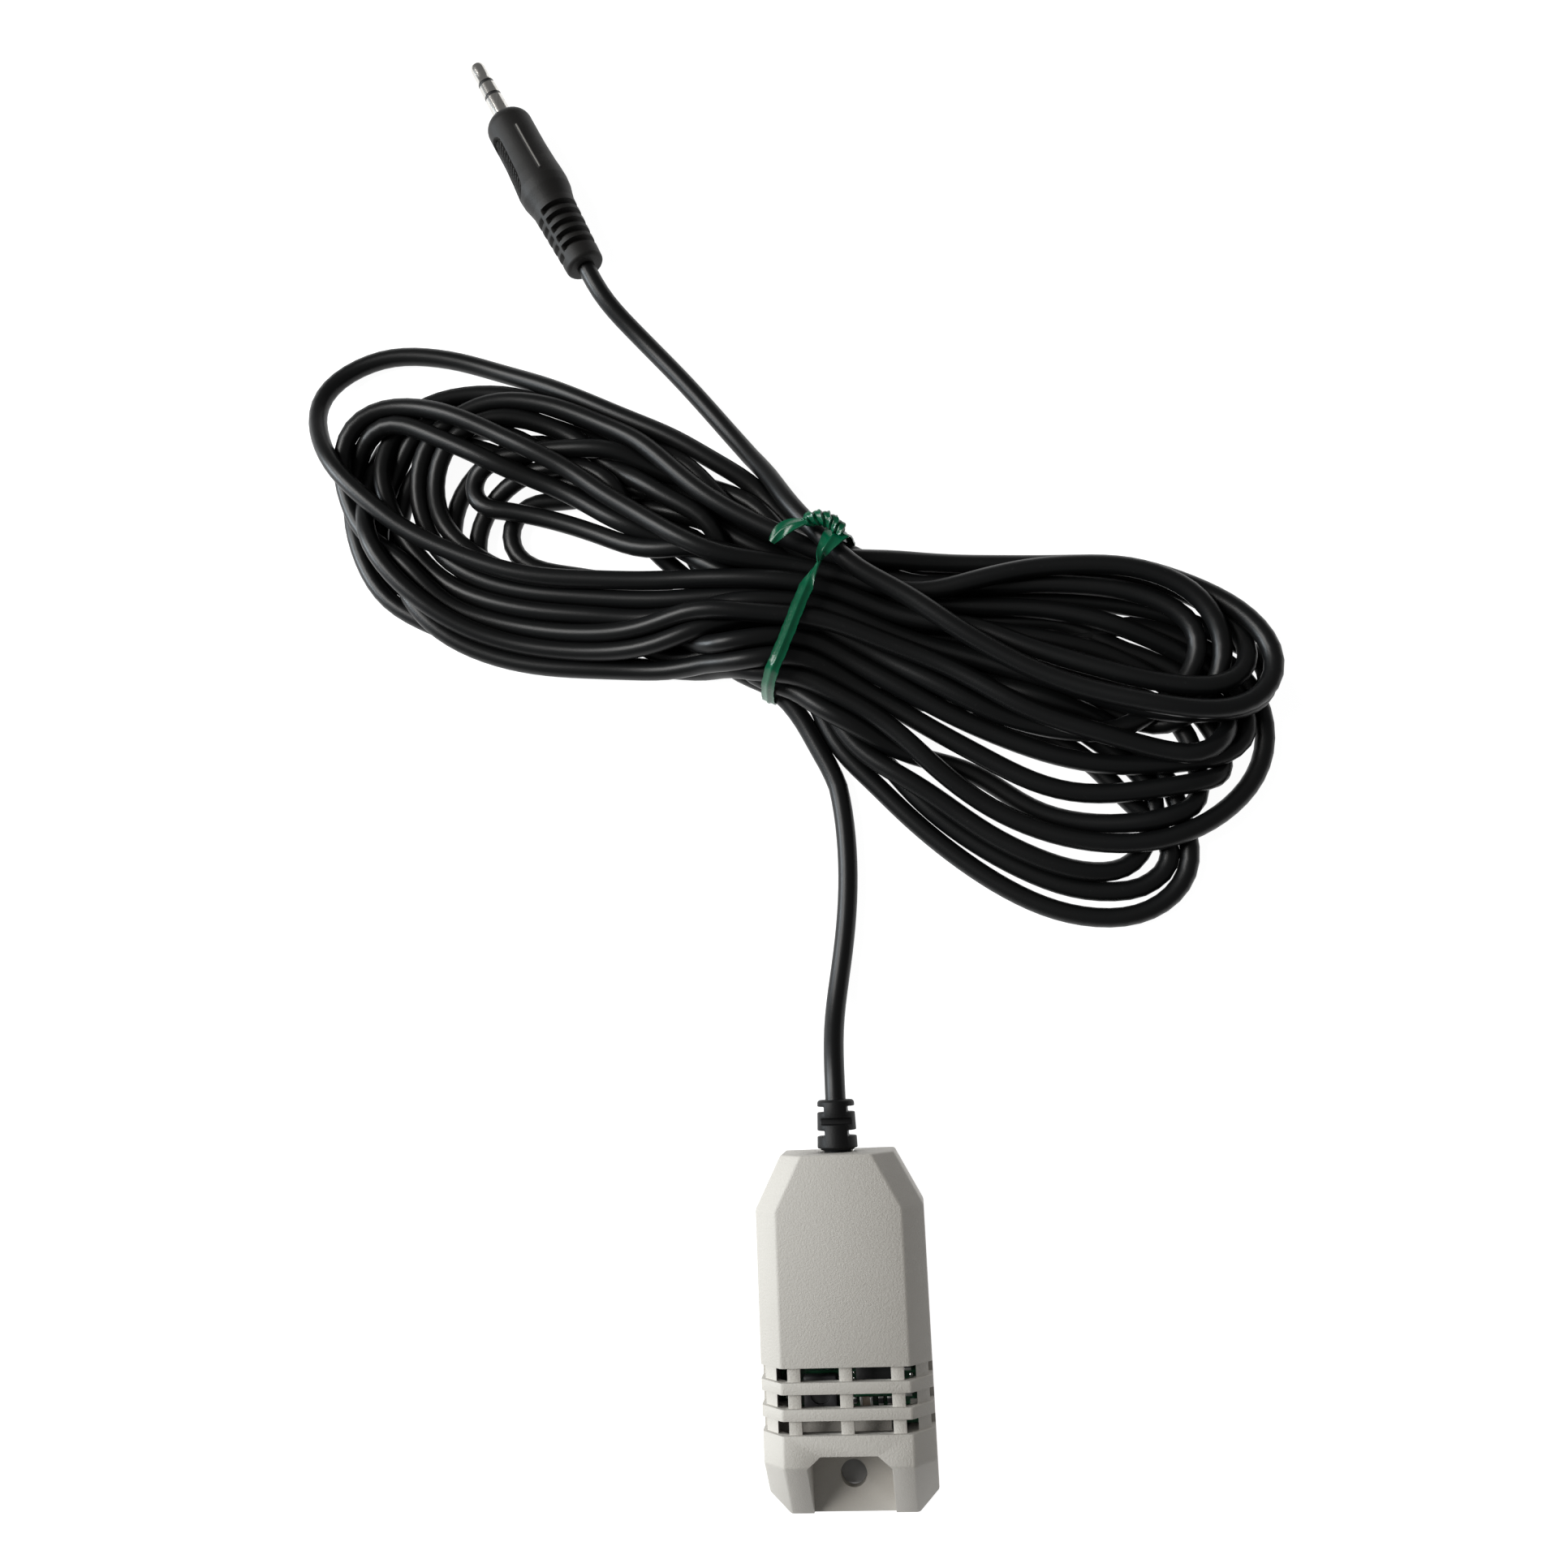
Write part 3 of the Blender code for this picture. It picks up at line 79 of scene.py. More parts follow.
ALONG_HANK = np.array([ACROSS_HANK[1], -ACROSS_HANK[0]])
STRAND_GAP = 0.06
LEAST_BEND, SETTLED_BEND = 7.5, 6.0
WAIST_HALF_WIDTH, WAIST_HALF_LENGTH = 13.2, 12
ROOM_BELOW_WAIST = 0.6
HELD_AT_PROBE, HELD_AT_PLUG, LET_GO_OVER = 55, 52, 20
SETTLING_ROUNDS = 360

# Each lobe of a turn, from one pass under the tie to the next, and the place of that next pass:
# how far across the hank, and how high.
LOBES = [
    ([
        (-24.7, 118.4, 1.8), (-38.5, 120.6, 1.8), (-50.4, 123.8, 1.8), (-58.4, 128.9, 1.8),
        (-60.9, 136.4, 1.8), (-57.8, 144.8, 1.8), (-48.5, 149.4, 2.2), (-35, 145.9, 2.4),
        (-23.4, 132.8, 2),
    ], (-8.4, 2.5)),
    ([
        (4.2, 98.3, 1.8), (10.8, 91.4, 1.8), (18.7, 83.5, 1.8), (27.3, 77.1, 1.8), (35.2, 72.5, 1.8),
        (42.4, 69.7, 1.8), (50.1, 69, 1.8), (56.5, 71.5, 1.8), (58.1, 77.4, 1.8), (53.1, 85.5, 1.8),
        (40.3, 96.1, 1.8), (26.8, 102, 1.8), (14.5, 106.3, 2), (6.9, 110.8, 2.4),
    ], (-5.05, 2.5)),
    ([
        (-23.7, 125.6, 1.8), (-35.4, 128.3, 1.8), (-45.8, 130.5, 1.8), (-52.1, 132.8, 1.8),
        (-54.5, 137, 1.8), (-54.2, 141.7, 1.8), (-51.4, 145.6, 1.8), (-45.6, 148, 1.8),
        (-37.3, 146.4, 1.8), (-26.2, 140, 2), (-14.5, 133.3, 2.4),
    ], (8.35, 2.5)),
    ([
        (21, 120.9, 2.2), (35.1, 120, 1.8), (47.6, 118.6, 1.8), (62.5, 114.6, 1.9), (74, 108.2, 2.4),
        (78.2, 101.9, 3.4), (76.9, 98.1, 4.2), (70.9, 96.1, 5), (60, 96.1, 6.4), (49.4, 98.8, 7.4),
        (39.6, 102.2, 8), (27.6, 107.4, 8.4), (15.4, 112, 8.4),
    ], (0, 9.6)),
    ([
        (-23.7, 117.9, 7.8), (-43.2, 120.9, 7), (-52.5, 122.8, 6.4), (-61, 125.4, 5.6), (-66.1, 128.1, 5),
        (-70.6, 132.3, 4.4), (-74.4, 138.1, 4), (-76.3, 143.4, 4), (-77, 147.5, 4.2), (-77, 151.7, 4.4),
        (-75.9, 156.1, 4.6), (-72.5, 160.4, 4.8), (-66.9, 163.4, 4.6), (-59.8, 164.6, 4.2),
        (-52.5, 163.9, 4), (-43.4, 160.3, 4.2), (-34.4, 154.2, 4.6), (-24.1, 145.9, 5), (-14, 138.2, 5.4),
    ], (11.7, 2.5)),
    ([
        (28.2, 124.2, 2.4), (42.3, 123.7, 2.6), (56, 122.3, 3), (65.2, 118.5, 3.8), (70.8, 113.2, 5.6),
        (72.9, 108.1, 8), (71.9, 103.7, 9.8), (68.6, 101.1, 11), (64.1, 100.6, 11.4), (58.1, 101.3, 11.4),
        (46.4, 105, 11.2), (33.8, 110.2, 10.6), (27.9, 113.3, 10), (16.4, 116.1, 9),
    ], (3.4, 9.6)),
    ([
        (-16.8, 123.9, 9.2), (-34.3, 125.9, 9.6), (-51.5, 128.6, 9.8), (-64.5, 133.9, 9.8),
        (-73.8, 139.3, 9.8), (-81.4, 146.8, 9.4), (-86.3, 154.5, 8), (-89.6, 161.4, 6), (-90.3, 166, 4.6),
        (-88.4, 170.6, 3.4), (-79.4, 175.1, 2.4), (-66.6, 173.9, 2.4), (-54.8, 168.9, 3.4),
        (-43.2, 162.2, 5.6), (-35.2, 158, 6.8), (-26.9, 153.3, 7.4), (-16.7, 146.1, 7.2),
        (-8.7, 140.1, 6.5),
    ], (13.4, 5.4)),
    ([
        (15.4, 122.4, 5.8), (27.9, 121.3, 6.6), (38.9, 121.2, 7.2), (48.1, 120.1, 7.2), (54.3, 118.7, 7.2),
        (60.1, 115.7, 7.2), (63.9, 112.4, 7), (64.9, 107.6, 6.4), (63.4, 104, 5.6), (59.2, 98.9, 4.6),
        (52.3, 96.3, 4.2), (41, 96.9, 4.6), (30.3, 100, 5), (21.2, 104.6, 5.2), (11.7, 109.5, 5.6),
    ], (-3.35, 5.4)),
    ([
        (-23.9, 112.7, 7.4), (-43.5, 115, 6), (-52.4, 117.2, 5.2), (-62.1, 120.9, 4.8),
        (-70.1, 125.8, 4.6), (-75.8, 131.7, 4.6), (-79.6, 137.8, 4.6), (-81.8, 144, 3.6), (-81.6, 151, 2),
        (-78.8, 156, 1.8), (-74, 158, 1.8), (-65.5, 156.8, 1.8), (-53.2, 151.5, 1.9), (-41.1, 146.6, 2),
        (-29.2, 141.3, 2), (-17.4, 135.7, 2.2),
    ], (5, 2.5)),
    ([
        (20.7, 116.9, 2.1), (34.7, 114.6, 1.8), (47.1, 112.1, 1.8), (55.1, 108.7, 1.8), (64.2, 103.2, 1.8),
        (70.7, 97.2, 2.8), (72, 92.5, 4.6), (70, 89.3, 6.4), (65, 88.2, 7.4), (57.9, 89.9, 7.8),
        (49, 93.7, 8), (37.2, 98.8, 8.2), (24.3, 105.5, 8.3), (12.1, 110.7, 8.3),
    ], (-3.4, 9.6)),
    ([
        (-23.9, 115.4, 7.4), (-43.3, 117.6, 6.6), (-52.3, 119.8, 5.8), (-61.3, 122.8, 5),
        (-68.2, 126.3, 4.6), (-73.6, 130.7, 4.4), (-79.4, 136.7, 4.4), (-82.3, 142.4, 4.6),
        (-83.8, 147.8, 5.2), (-84.6, 152.1, 6.6), (-84, 155.6, 8), (-80.5, 159.6, 8.6),
        (-71.8, 160.9, 8.8), (-61.6, 158, 9), (-51.6, 152.9, 9), (-41.8, 147.3, 9), (-31, 138.7, 9),
        (-19.2, 130.5, 9),
    ], (6.9, 9.5)),
    ([
        (18.9, 120.4, 9.2), (25.3, 121.3, 9.4), (37.9, 123.2, 9.6), (44.9, 123.2, 9.8), (51.1, 122.8, 9.8),
        (57.1, 121.4, 9.6), (64.4, 117.2, 9.2), (68.5, 110.1, 8.2), (68.5, 105.8, 7), (66.3, 100.6, 5),
        (61.3, 97, 3.4), (52.6, 96.7, 2.4), (39.9, 99, 2), (27.5, 101.4, 2), (14.9, 104.8, 2.2),
        (5.3, 107.5, 2.6),
    ], (-6.7, 5.4)),
    ([
        (-20.6, 113.7, 4.9), (-32.1, 117.6, 4.8), (-43.8, 120.1, 4.4), (-56, 124.9, 3),
        (-63.1, 130.8, 1.8), (-66, 138.3, 1.8), (-64.5, 146.9, 1.8), (-57.5, 153.3, 1.8),
        (-45.6, 153.3, 1.8), (-32.1, 145.2, 1.8), (-20.5, 131.1, 2),
    ], (-13.4, 5.4)),
    ([
        (4.4, 100.2, 4.8), (13.8, 93.7, 4.6), (25.5, 89.4, 4.2), (36.6, 81.7, 4), (46.6, 78.8, 3.8),
        (55.7, 79.2, 3.4), (61.6, 82.4, 2.6), (63, 87.4, 2), (59.4, 95.7, 1.8), (46.5, 105.1, 1.8),
        (32.9, 109.3, 1.8), (19, 111.9, 2), (9.2, 113.9, 2.4),
    ], (-1.7, 2.5)),
    ([
        (-17.6, 130.8, 2.2), (-32.2, 142.1, 1.8), (-47.1, 151.9, 1.8), (-59.3, 156.8, 1.8),
        (-70.1, 155.9, 1.8), (-73.9, 150.8, 1.8), (-76.2, 144.6, 1.8), (-77.8, 138, 2.2),
        (-75.6, 130.4, 3), (-70, 124.6, 3.6), (-62.3, 119.6, 4.2), (-52.6, 115.9, 4.6), (-43.8, 114, 4.8),
        (-24.4, 111.8, 5),
    ], (-10.2, 9.1)),
    ([
        (5.4, 104.5, 7.8), (11.6, 101, 7.4), (23.7, 93.8, 6.8), (36.7, 86.4, 6.4), (44.6, 84.2, 6.2),
        (56.9, 84.6, 5.4), (65, 86.9, 3.8), (68.9, 91.5, 2.4), (67.5, 98.7, 2), (61.3, 105.3, 2.2),
        (51, 109.8, 3), (41.2, 111.4, 3.8), (27.5, 114.2, 4.6), (13.7, 117.9, 5.2),
    ], (6.7, 5.4)),
    ([
        (-22.8, 133.3, 5.6), (-34.4, 137.1, 6), (-43.1, 139.2, 6.2), (-52.4, 141.2, 6.4),
        (-60.2, 142.4, 6.4), (-65.8, 143.3, 6.2), (-70.6, 145.6, 5.4), (-71.9, 148.9, 4.4),
        (-69.5, 152, 3.4), (-61.9, 153.4, 3.2), (-52.7, 152.2, 3.6), (-42.1, 149, 4.6), (-35.7, 147.9, 5),
        (-25.4, 145, 5.2), (-15.4, 140, 5.4),
    ], (10.05, 5.4)),
    ([
        (13.9, 120.8, 5.4), (25, 119.1, 5), (41.5, 116.3, 4.4), (51.1, 113.4, 3.6), (57.2, 110.4, 3),
        (65.6, 104.7, 2.4), (70.4, 98.7, 2.4), (70.9, 93.4, 2.6), (66.7, 89.7, 3.4), (58.3, 88.4, 4.8),
        (48.9, 88.8, 6.2), (38.9, 91.3, 6.8), (27, 96.7, 7.2), (14.9, 104.1, 7.8), (6.8, 109.1, 8),
    ], (-6.8, 9.5)),
    ([
        (-24.8, 114.8, 2), (-44.5, 116.9, 1.8), (-54.9, 119.5, 1.8), (-65.4, 124.2, 1.8),
        (-73, 130.3, 1.8), (-77.6, 136.8, 1.8), (-78.9, 143.2, 1.8), (-77.8, 149.5, 1.8),
        (-75.1, 154.9, 1.8), (-67.8, 159.9, 1.8), (-56.2, 161.9, 1.8), (-44, 155.5, 2), (-29.1, 145.7, 2),
        (-16, 134, 2.3),
    ], (1.65, 2.5)),
    ([
        (12.1, 115.2, 2.4), (24.7, 113, 2), (38.7, 112.1, 1.8), (55.3, 111, 1.8), (68.3, 104.3, 2),
        (73.7, 96.8, 2.4), (74.1, 91.2, 3), (72.3, 86, 3.4), (64.7, 79.3, 4.4), (54.2, 76.1, 5),
        (42.1, 77.1, 5.4), (30.3, 81.8, 5.6), (18.4, 90.3, 6), (12.5, 95.4, 6.2), (7.2, 99.6, 6.6),
    ], (-12.4, 7.4)),
    ([
        (-23.6, 111.6, 1.9), (-44.5, 113.4, 1.8), (-52.7, 115.3, 1.8), (-61.9, 118.8, 1.8),
        (-68.4, 122.9, 1.8), (-75.1, 128.6, 1.8), (-79.5, 135.1, 1.8), (-82.3, 141.1, 1.8),
        (-83.3, 147.8, 2.2), (-81.8, 153.1, 3.5), (-79, 156.1, 4.5), (-74.8, 159, 5.2),
        (-66.4, 156.1, 5.8), (-52.5, 149.1, 6), (-43.1, 144.6, 6), (-31.5, 137.5, 5.4), (-20.1, 131.2, 5),
    ], (0, 5.4)),
    ([
        (7.6, 107.6, 5.4), (17.2, 104.7, 5), (32.2, 101.4, 4.4), (48.3, 95.4, 3), (58.5, 85.2, 1.8),
        (60.6, 76.7, 1.8), (58.7, 69.3, 1.8), (52.4, 64.4, 1.8), (45.7, 63.8, 1.8), (39.6, 64.9, 1.8),
        (33.7, 67.4, 1.8), (27.7, 71.1, 1.8), (21.1, 76.3, 1.8), (14.5, 82.6, 1.8), (7.7, 90.3, 1.8),
        (2.6, 96.2, 1.8),
    ], (-11.75, 2.5)),
    ([
        (-14.1, 135.6, 5.2), (-24.2, 142.5, 5), (-34.3, 151.1, 5), (-43.3, 156.3, 4.8),
        (-52.4, 158.6, 4.4), (-58.7, 158.6, 3.8), (-65.1, 155.3, 2.8), (-67.7, 151.7, 2),
        (-68.4, 146.9, 1.8), (-66.6, 140.7, 1.9), (-61.4, 133.9, 2.4), (-53, 128.5, 3), (-40.9, 123.5, 4),
        (-23.3, 120.3, 4.6),
    ], (-10.05, 5.4)),
    ([
        (5, 98, 4.6), (11, 92.4, 4.6), (18.2, 86.1, 4.4), (24.1, 80.5, 4.2), (30, 76, 4),
        (41.9, 71.2, 3.6), (51.8, 72.5, 3), (56.6, 76.9, 2.2), (56.2, 83.2, 1.8), (51.6, 91.2, 1.8),
        (40.5, 100.2, 2.6), (27, 105.8, 3.6), (13.4, 111.4, 5),
    ], (3.35, 5.4)),
    ([
        (-23.7, 121.3, 7.4), (-43.1, 123.6, 7), (-54.1, 125.6, 6.4), (-61.8, 128.8, 5.8),
        (-66.8, 133.6, 5.2), (-69.5, 139.1, 4.6), (-71, 144, 4.4), (-71.5, 148.7, 4.6), (-71, 153, 5),
        (-68.5, 157.3, 5.6), (-63.8, 160.1, 6.4), (-57.3, 161.6, 7), (-51.6, 161.5, 7.2),
        (-44.1, 159.7, 7.4), (-35.1, 154.3, 7.6), (-26.4, 147.1, 8), (-16.5, 139.4, 8.3),
    ], (10.9, 9.4)),
    ([
        (19.3, 126.2, 6), (38.3, 125, 6), (55.6, 123, 6), (67.1, 117, 7), (73.1, 111, 8.4),
        (76, 103.7, 9.8), (72.1, 97.7, 11), (63.6, 96.2, 11.6), (51.9, 98.6, 12), (39.3, 103.4, 12),
        (27.6, 110.5, 12), (15.8, 119.4, 12),
    ], None),
]


def pass_points(place, rightwards):
    """Two points of a pass under the tie. The passes nearest the knot slope down to the right."""
    across, height = place
    slope = -0.05 - 0.42 * min(max((across - 2) / 8, 0), 1)
    spots = [TIE_MIDDLE + ACROSS_HANK * across + np.array([step, step * slope]) for step in (-4.0, 4.0)]
    return [(spot[0], spot[1], height) for spot in (spots if rightwards else spots[::-1])]


def step_lengths(line):
    """The distance from each point of a line to the next."""
    return np.linalg.norm(np.diff(line, axis=0), axis=1)


def even_steps(line, count):
    """The same line as so many points at even steps."""
    run = np.concatenate([[0], np.cumsum(step_lengths(line))])
    steps = np.linspace(0, run[-1], count)
    return np.column_stack([np.interp(steps, run, line[:, axis]) for axis in range(line.shape[1])])


def smooth_line(points, spacing):
    """A curve through the points, cut into equal steps."""
    points = np.array(points, float)
    ends = [2 * points[0] - points[1], 2 * points[-1] - points[-2]]
    points = np.vstack([ends[0], points, ends[1]])
    knots = np.concatenate([[0], np.cumsum(step_lengths(points) ** 0.5)])
    fine = []
    for i in range(1, len(points) - 2):
        t0, t1, t2, t3 = knots[i - 1:i + 3]
        t = np.linspace(t1, t2, 24, endpoint=False)[:, None]
        a1 = (t1 - t) / (t1 - t0) * points[i - 1] + (t - t0) / (t1 - t0) * points[i]
        a2 = (t2 - t) / (t2 - t1) * points[i] + (t - t1) / (t2 - t1) * points[i + 1]
        a3 = (t3 - t) / (t3 - t2) * points[i + 1] + (t - t2) / (t3 - t2) * points[i + 2]
        b1 = (t2 - t) / (t2 - t0) * a1 + (t - t0) / (t2 - t0) * a2
        b2 = (t3 - t) / (t3 - t1) * a2 + (t - t1) / (t3 - t1) * a3
        fine.append((t2 - t) / (t2 - t1) * b1 + (t - t1) / (t2 - t1) * b2)
    fine = np.vstack(fine + [points[-2][None]])
    return even_steps(fine, int(step_lengths(fine).sum() / spacing) + 1)


def near_pairs(line, reach, apart):
    """Pairs of points that lie near each other but not next to each other along the cord."""
    first, second = [], []
    for start in range(0, len(line), 400):
        block = line[start:start + 400]
        far = ((block[:, None, :] - line[None, :, :]) ** 2).sum(axis=2)
        i, j = np.nonzero(far < reach * reach)
        keep = j - (i + start) > apart
        first.append(i[keep] + start)
        second.append(j[keep])
    return np.concatenate(first), np.concatenate(second)


def evened(line, amount, rounds):
    """The line with its sharp changes of bend eased out, and its ends kept."""
    for _ in range(rounds):
        bend = np.zeros_like(line)
        bend[1:-1] = (line[:-2] + line[2:]) / 2 - line[1:-1]
        change = np.zeros_like(line)
        change[2:-2] = (bend[1:-3] + bend[3:-1]) / 2 - bend[2:-2]
        line = line - amount * change
    return line


def eased(line, least, rounds):
    """The line with every bend tighter than the least radius opened out."""
    line = line.copy()
    for _ in range(rounds):
        before, after = line[3:-3] - line[:-6], line[6:] - line[3:-3]
        sizes = np.linalg.norm(before, axis=1) * np.linalg.norm(after, axis=1)
        turn = np.arccos(np.clip((before * after).sum(axis=1) / sizes, -1, 1))
        tight = np.clip(turn * least / np.sqrt(sizes) - 1, 0, 1)
        weight = np.convolve(tight, np.ones(5) / 2.5, "same").clip(0, 1)[:, None]
        line[3:-3] += 0.5 * weight * ((line[2:-4] + line[4:-2]) / 2 - line[3:-3])
    return line


def settle(home, loose, rounds):
    """The cord pushes itself apart where it touches, keeps to its lay, and rests on the floor."""
    home = eased(evened(home, 0.4, 12), LEAST_BEND, 150)
    shift = np.zeros_like(home)
    room = 2 * CORD_RADIUS + STRAND_GAP
    for step in range(rounds):
        line = home + shift
        if step % 12 == 0:
            first, second = near_pairs(line, room + 1.5, 6)
        gap = line[second] - line[first]
        far = np.maximum(np.linalg.norm(gap, axis=1), 0.001)
        push = gap * (np.clip(room - far, 0, 1.2) / far * 0.32)[:, None]
        move = np.zeros_like(line)
        np.add.at(move, first, -push)
        np.add.at(move, second, push)
        size = np.linalg.norm(move, axis=1, keepdims=True)
        shift += move * np.minimum(1, 0.6 / np.maximum(size, 0.001)) * loose
        # It is stiff, so a push is shared along it, and it goes back a little towards its lay.
        shift = shift + (evened(shift, 0.4, 2) - shift) * loose
        shift[1:-1] += 0.1 * ((shift[:-2] + shift[2:]) / 2 - shift[1:-1]) * loose[1:-1]
        if step % 4 == 0:
            shift += (eased(home + shift, SETTLED_BEND, 2) - home - shift) * loose
        shift *= 1 - 0.03 * (1 - step / rounds) ** 2
        shift[:, 2] -= 0.006 * loose[:, 0]
        # The floor bears it, and the tie gathers it at the waist.
        along = (line[:, :2] - TIE_MIDDLE) @ ALONG_HANK
        across = (line[:, :2] - TIE_MIDDLE) @ ACROSS_HANK
        ground = CORD_RADIUS + ROOM_BELOW_WAIST * np.exp(-(along / 7) ** 2)
        shift[:, 2] = np.maximum(shift[:, 2], ground - home[:, 2])
        over = np.maximum(np.abs(across) - WAIST_HALF_WIDTH - 0.02 * along ** 2, 0)
        over = np.where(np.abs(along) < WAIST_HALF_LENGTH, over, 0)
        shift[:, :2] -= (np.sign(across) * over)[:, None] * ACROSS_HANK * (loose >= 1)
    return home + shift
route, rightwards = [CORD_END] + PROBE_LEAD, False
for lobe, place in LOBES:
    route += lobe
    if place:
        rightwards = not rightwards
        route += pass_points(place, rightwards)
cord_line = smooth_line(route + PLUG_LEAD, BETWEEN_POINTS)
run = np.arange(len(cord_line)) * BETWEEN_POINTS
loose = np.clip((run - HELD_AT_PROBE) / LET_GO_OVER, 0, 1)
loose = loose * np.clip((run[-1] - HELD_AT_PLUG - run) / LET_GO_OVER, 0, 1)
cord_line = settle(cord_line, loose[:, None], SETTLING_ROUNDS)


class Value:
    """An output of a material's node. Working with it as with a number adds Math nodes."""

    def __init__(self, finish, socket):
        self.finish = finish
        self.socket = socket

    def math(self, operation, *values):
        return self.finish.add("ShaderNodeMath", {"operation": operation}, dict(enumerate(values)))

    def __add__(self, other):
        return self.math("ADD", self, other)

    def __radd__(self, other):
        return self.math("ADD", other, self)

    def __sub__(self, other):
        return self.math("SUBTRACT", self, other)

    def __rsub__(self, other):
        return self.math("SUBTRACT", other, self)

    def __mul__(self, other):
        return self.math("MULTIPLY", self, other)

    def __rmul__(self, other):
        return self.math("MULTIPLY", other, self)

    def size(self):
        """The value without its sign."""
        return self.math("ABSOLUTE", self)

    def between(self, low, high):
        """0 where the value is low or less, 1 where it is high or more, and smooth between them."""
        values = {"Value": self, "From Min": low, "From Max": high}
        return self.finish.add("ShaderNodeMapRange", {"interpolation_type": "SMOOTHSTEP"}, values)


class Finish:
    """A material under way. The fixed numbers go on its shader when it is made."""

    def __init__(self, name, **fixed):
        self.material = bpy.data.materials.new(name)
        self.material.use_nodes = True
        self.tree = self.material.node_tree
        self.shader = self.tree.nodes["Principled BSDF"]
        for socket, value in fixed.items():
            self.shader.inputs[socket.replace("_", " ")].default_value = value
        self.place = self.add("ShaderNodeTexCoord", {}, {}, "Object")

    def add(self, kind, settings, values, output=0):
        """Adds a node of this kind: its settings first, then the values or links of its sockets."""
        node = self.tree.nodes.new(kind)
        for name, setting in settings.items():
            setattr(node, name, setting)
        for name, value in values.items():
            if isinstance(value, Value):
                self.tree.links.new(value.socket, node.inputs[name])
            else:
                node.inputs[name].default_value = value
        return Value(self, node.outputs[output])

    def noise(self, scale, detail=3.0, roughness=0.5, place=None, **more):
        values = {"Vector": place or self.place, "Scale": scale, "Detail": detail, "Roughness": roughness}
        return self.add("ShaderNodeTexNoise", {}, {**values, **more}, "Fac")

    def along(self, axis, place=None):
        """How far along one axis a point of the piece lies, or another vector's part along it."""
        return self.add("ShaderNodeSeparateXYZ", {}, {0: place or self.place}, axis)

    def stretched(self, turn, size):
        """The place on the piece, turned and stretched so that a pattern runs one way."""
        return self.add("ShaderNodeMapping", {}, {"Vector": self.place, "Rotation": turn, "Scale": size})

    def mixed(self, factor, first, second):
        """From the first colour to the second, as the factor goes from 0 to 1."""
        first, second = ((*c, 1) if isinstance(c, tuple) else c for c in (first, second))
        return self.add("ShaderNodeMix", {"data_type": "RGBA"}, {0: factor, 6: first, 7: second}, 2)

    def give(self, **links):
        for socket, value in links.items():
            self.tree.links.new(value.socket, self.shader.inputs[socket.replace("_", " ")])

    def rough(self, height, distance, strength):
        """Relief from a height of 0 to 1, at a real depth in metres."""
        return self.add("ShaderNodeBump", {}, {"Height": height, "Distance": distance, "Strength": strength})


jacket = Finish("cord_jacket_black", Specular_IOR_Level=0.25)
cloud = jacket.noise(45, 4)
grain = jacket.noise(5200, 3)
dust = jacket.noise(900, 5, 0.7).between(0.62, 0.78)
clean = jacket.mixed(cloud, (0.0025, 0.0027, 0.003), (0.005, 0.0052, 0.0052))
jacket.give(
    Base_Color=jacket.mixed(dust * 0.35, clean, (0.028, 0.028, 0.027)),
    Roughness=0.32 + 0.1 * cloud + 0.08 * dust,
    Normal=jacket.rough(grain, 0.00003, 0.5),
)

curve = bpy.data.curves.new("cord", "CURVE")
curve.dimensions = "3D"
spline = curve.splines.new("POLY")
spline.points.add(len(cord_line) - 1)
for point, spot in zip(spline.points, cord_line):
    point.co = (*(spot * MM), 1)
spline.use_smooth = True
curve.bevel_depth = CORD_RADIUS * MM
curve.bevel_resolution = 5
curve.use_fill_caps = True
cord = bpy.data.objects.new("cord", curve)
bpy.context.collection.objects.link(cord)
curve.materials.append(jacket.material)
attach(cord, "root")
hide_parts("cord_probe_lead", "cord_hank", "cord_plug_lead")


# The tie is one strip of green plastic with a soft wire down its middle. It goes once round the
# waist of the hank, its two ends are twisted together at the top, and their tips are bent away.
TIE_WIDTH, TIE_THICKNESS, TIE_RIDGE = 2.5, 0.28, 0.34
TIE_STATION, TIE_REACH, TIE_STANDOFF = 1.6, 2.6, 0.42
TIE_SLANT = [(-15.0, 1.7), (-14.1, 1.8), (-10.8, 2.05), (-5.7, 1.8), (-0.2, 1.4), (4.0, 1.3), (7.6, 1.5)]
TIE_UNDERSIDE = [(-15.0, 1.7), (0.0, 2.2), (14.0, 2.9), (15.0, 3.0)]
FOLD_LINE = [(1.5, 7.5, 13.9), (1.4, 8.6, 14.6), (1.6, 10.2, 15.0), (1.9, 11.8, 15.0), (2.3, 13.4, 14.5)]
TWIST_LINE = [
    (2.7, 13.7, 14.9), (1.0, 14.3, 15.5), (-0.9, 14.2, 15.8), (-2.5, 13.5, 15.6), (-3.4, 12.7, 15.3),
]
TIP_LINE = [
    (-3.3, 12.6, 15.4), (-4.3, 11.9, 15.4), (-5.4, 11.1, 15.2), (-6.5, 9.9, 14.8), (-7.1, 8.6, 14.3),
    (-7.4, 7.5, 13.9),
]
FOLD_POINTS, TWIST_POINTS, TIP_POINTS = 30, 72, 36
TWIST_TURNS, TWIST_RADIUS = 2.6, 0.78


def on_hank(spots):
    """From places along, across and above the waist to places of the part."""
    return np.array([(*(TIE_MIDDLE + ALONG_HANK * s[0] + ACROSS_HANK * s[1]), s[2]) for s in spots])


def hank_line(spots, count):
    """A smooth line of so many points through places on the hank."""
    return even_steps(smooth_line(on_hank(spots), 0.3), count)


def softened(line, rounds):
    """The line with its corners worn off, and its ends kept."""
    for _ in range(rounds):
        line[1:-1] = (line[:-2] + 2 * line[1:-1] + line[2:]) / 4
    return line


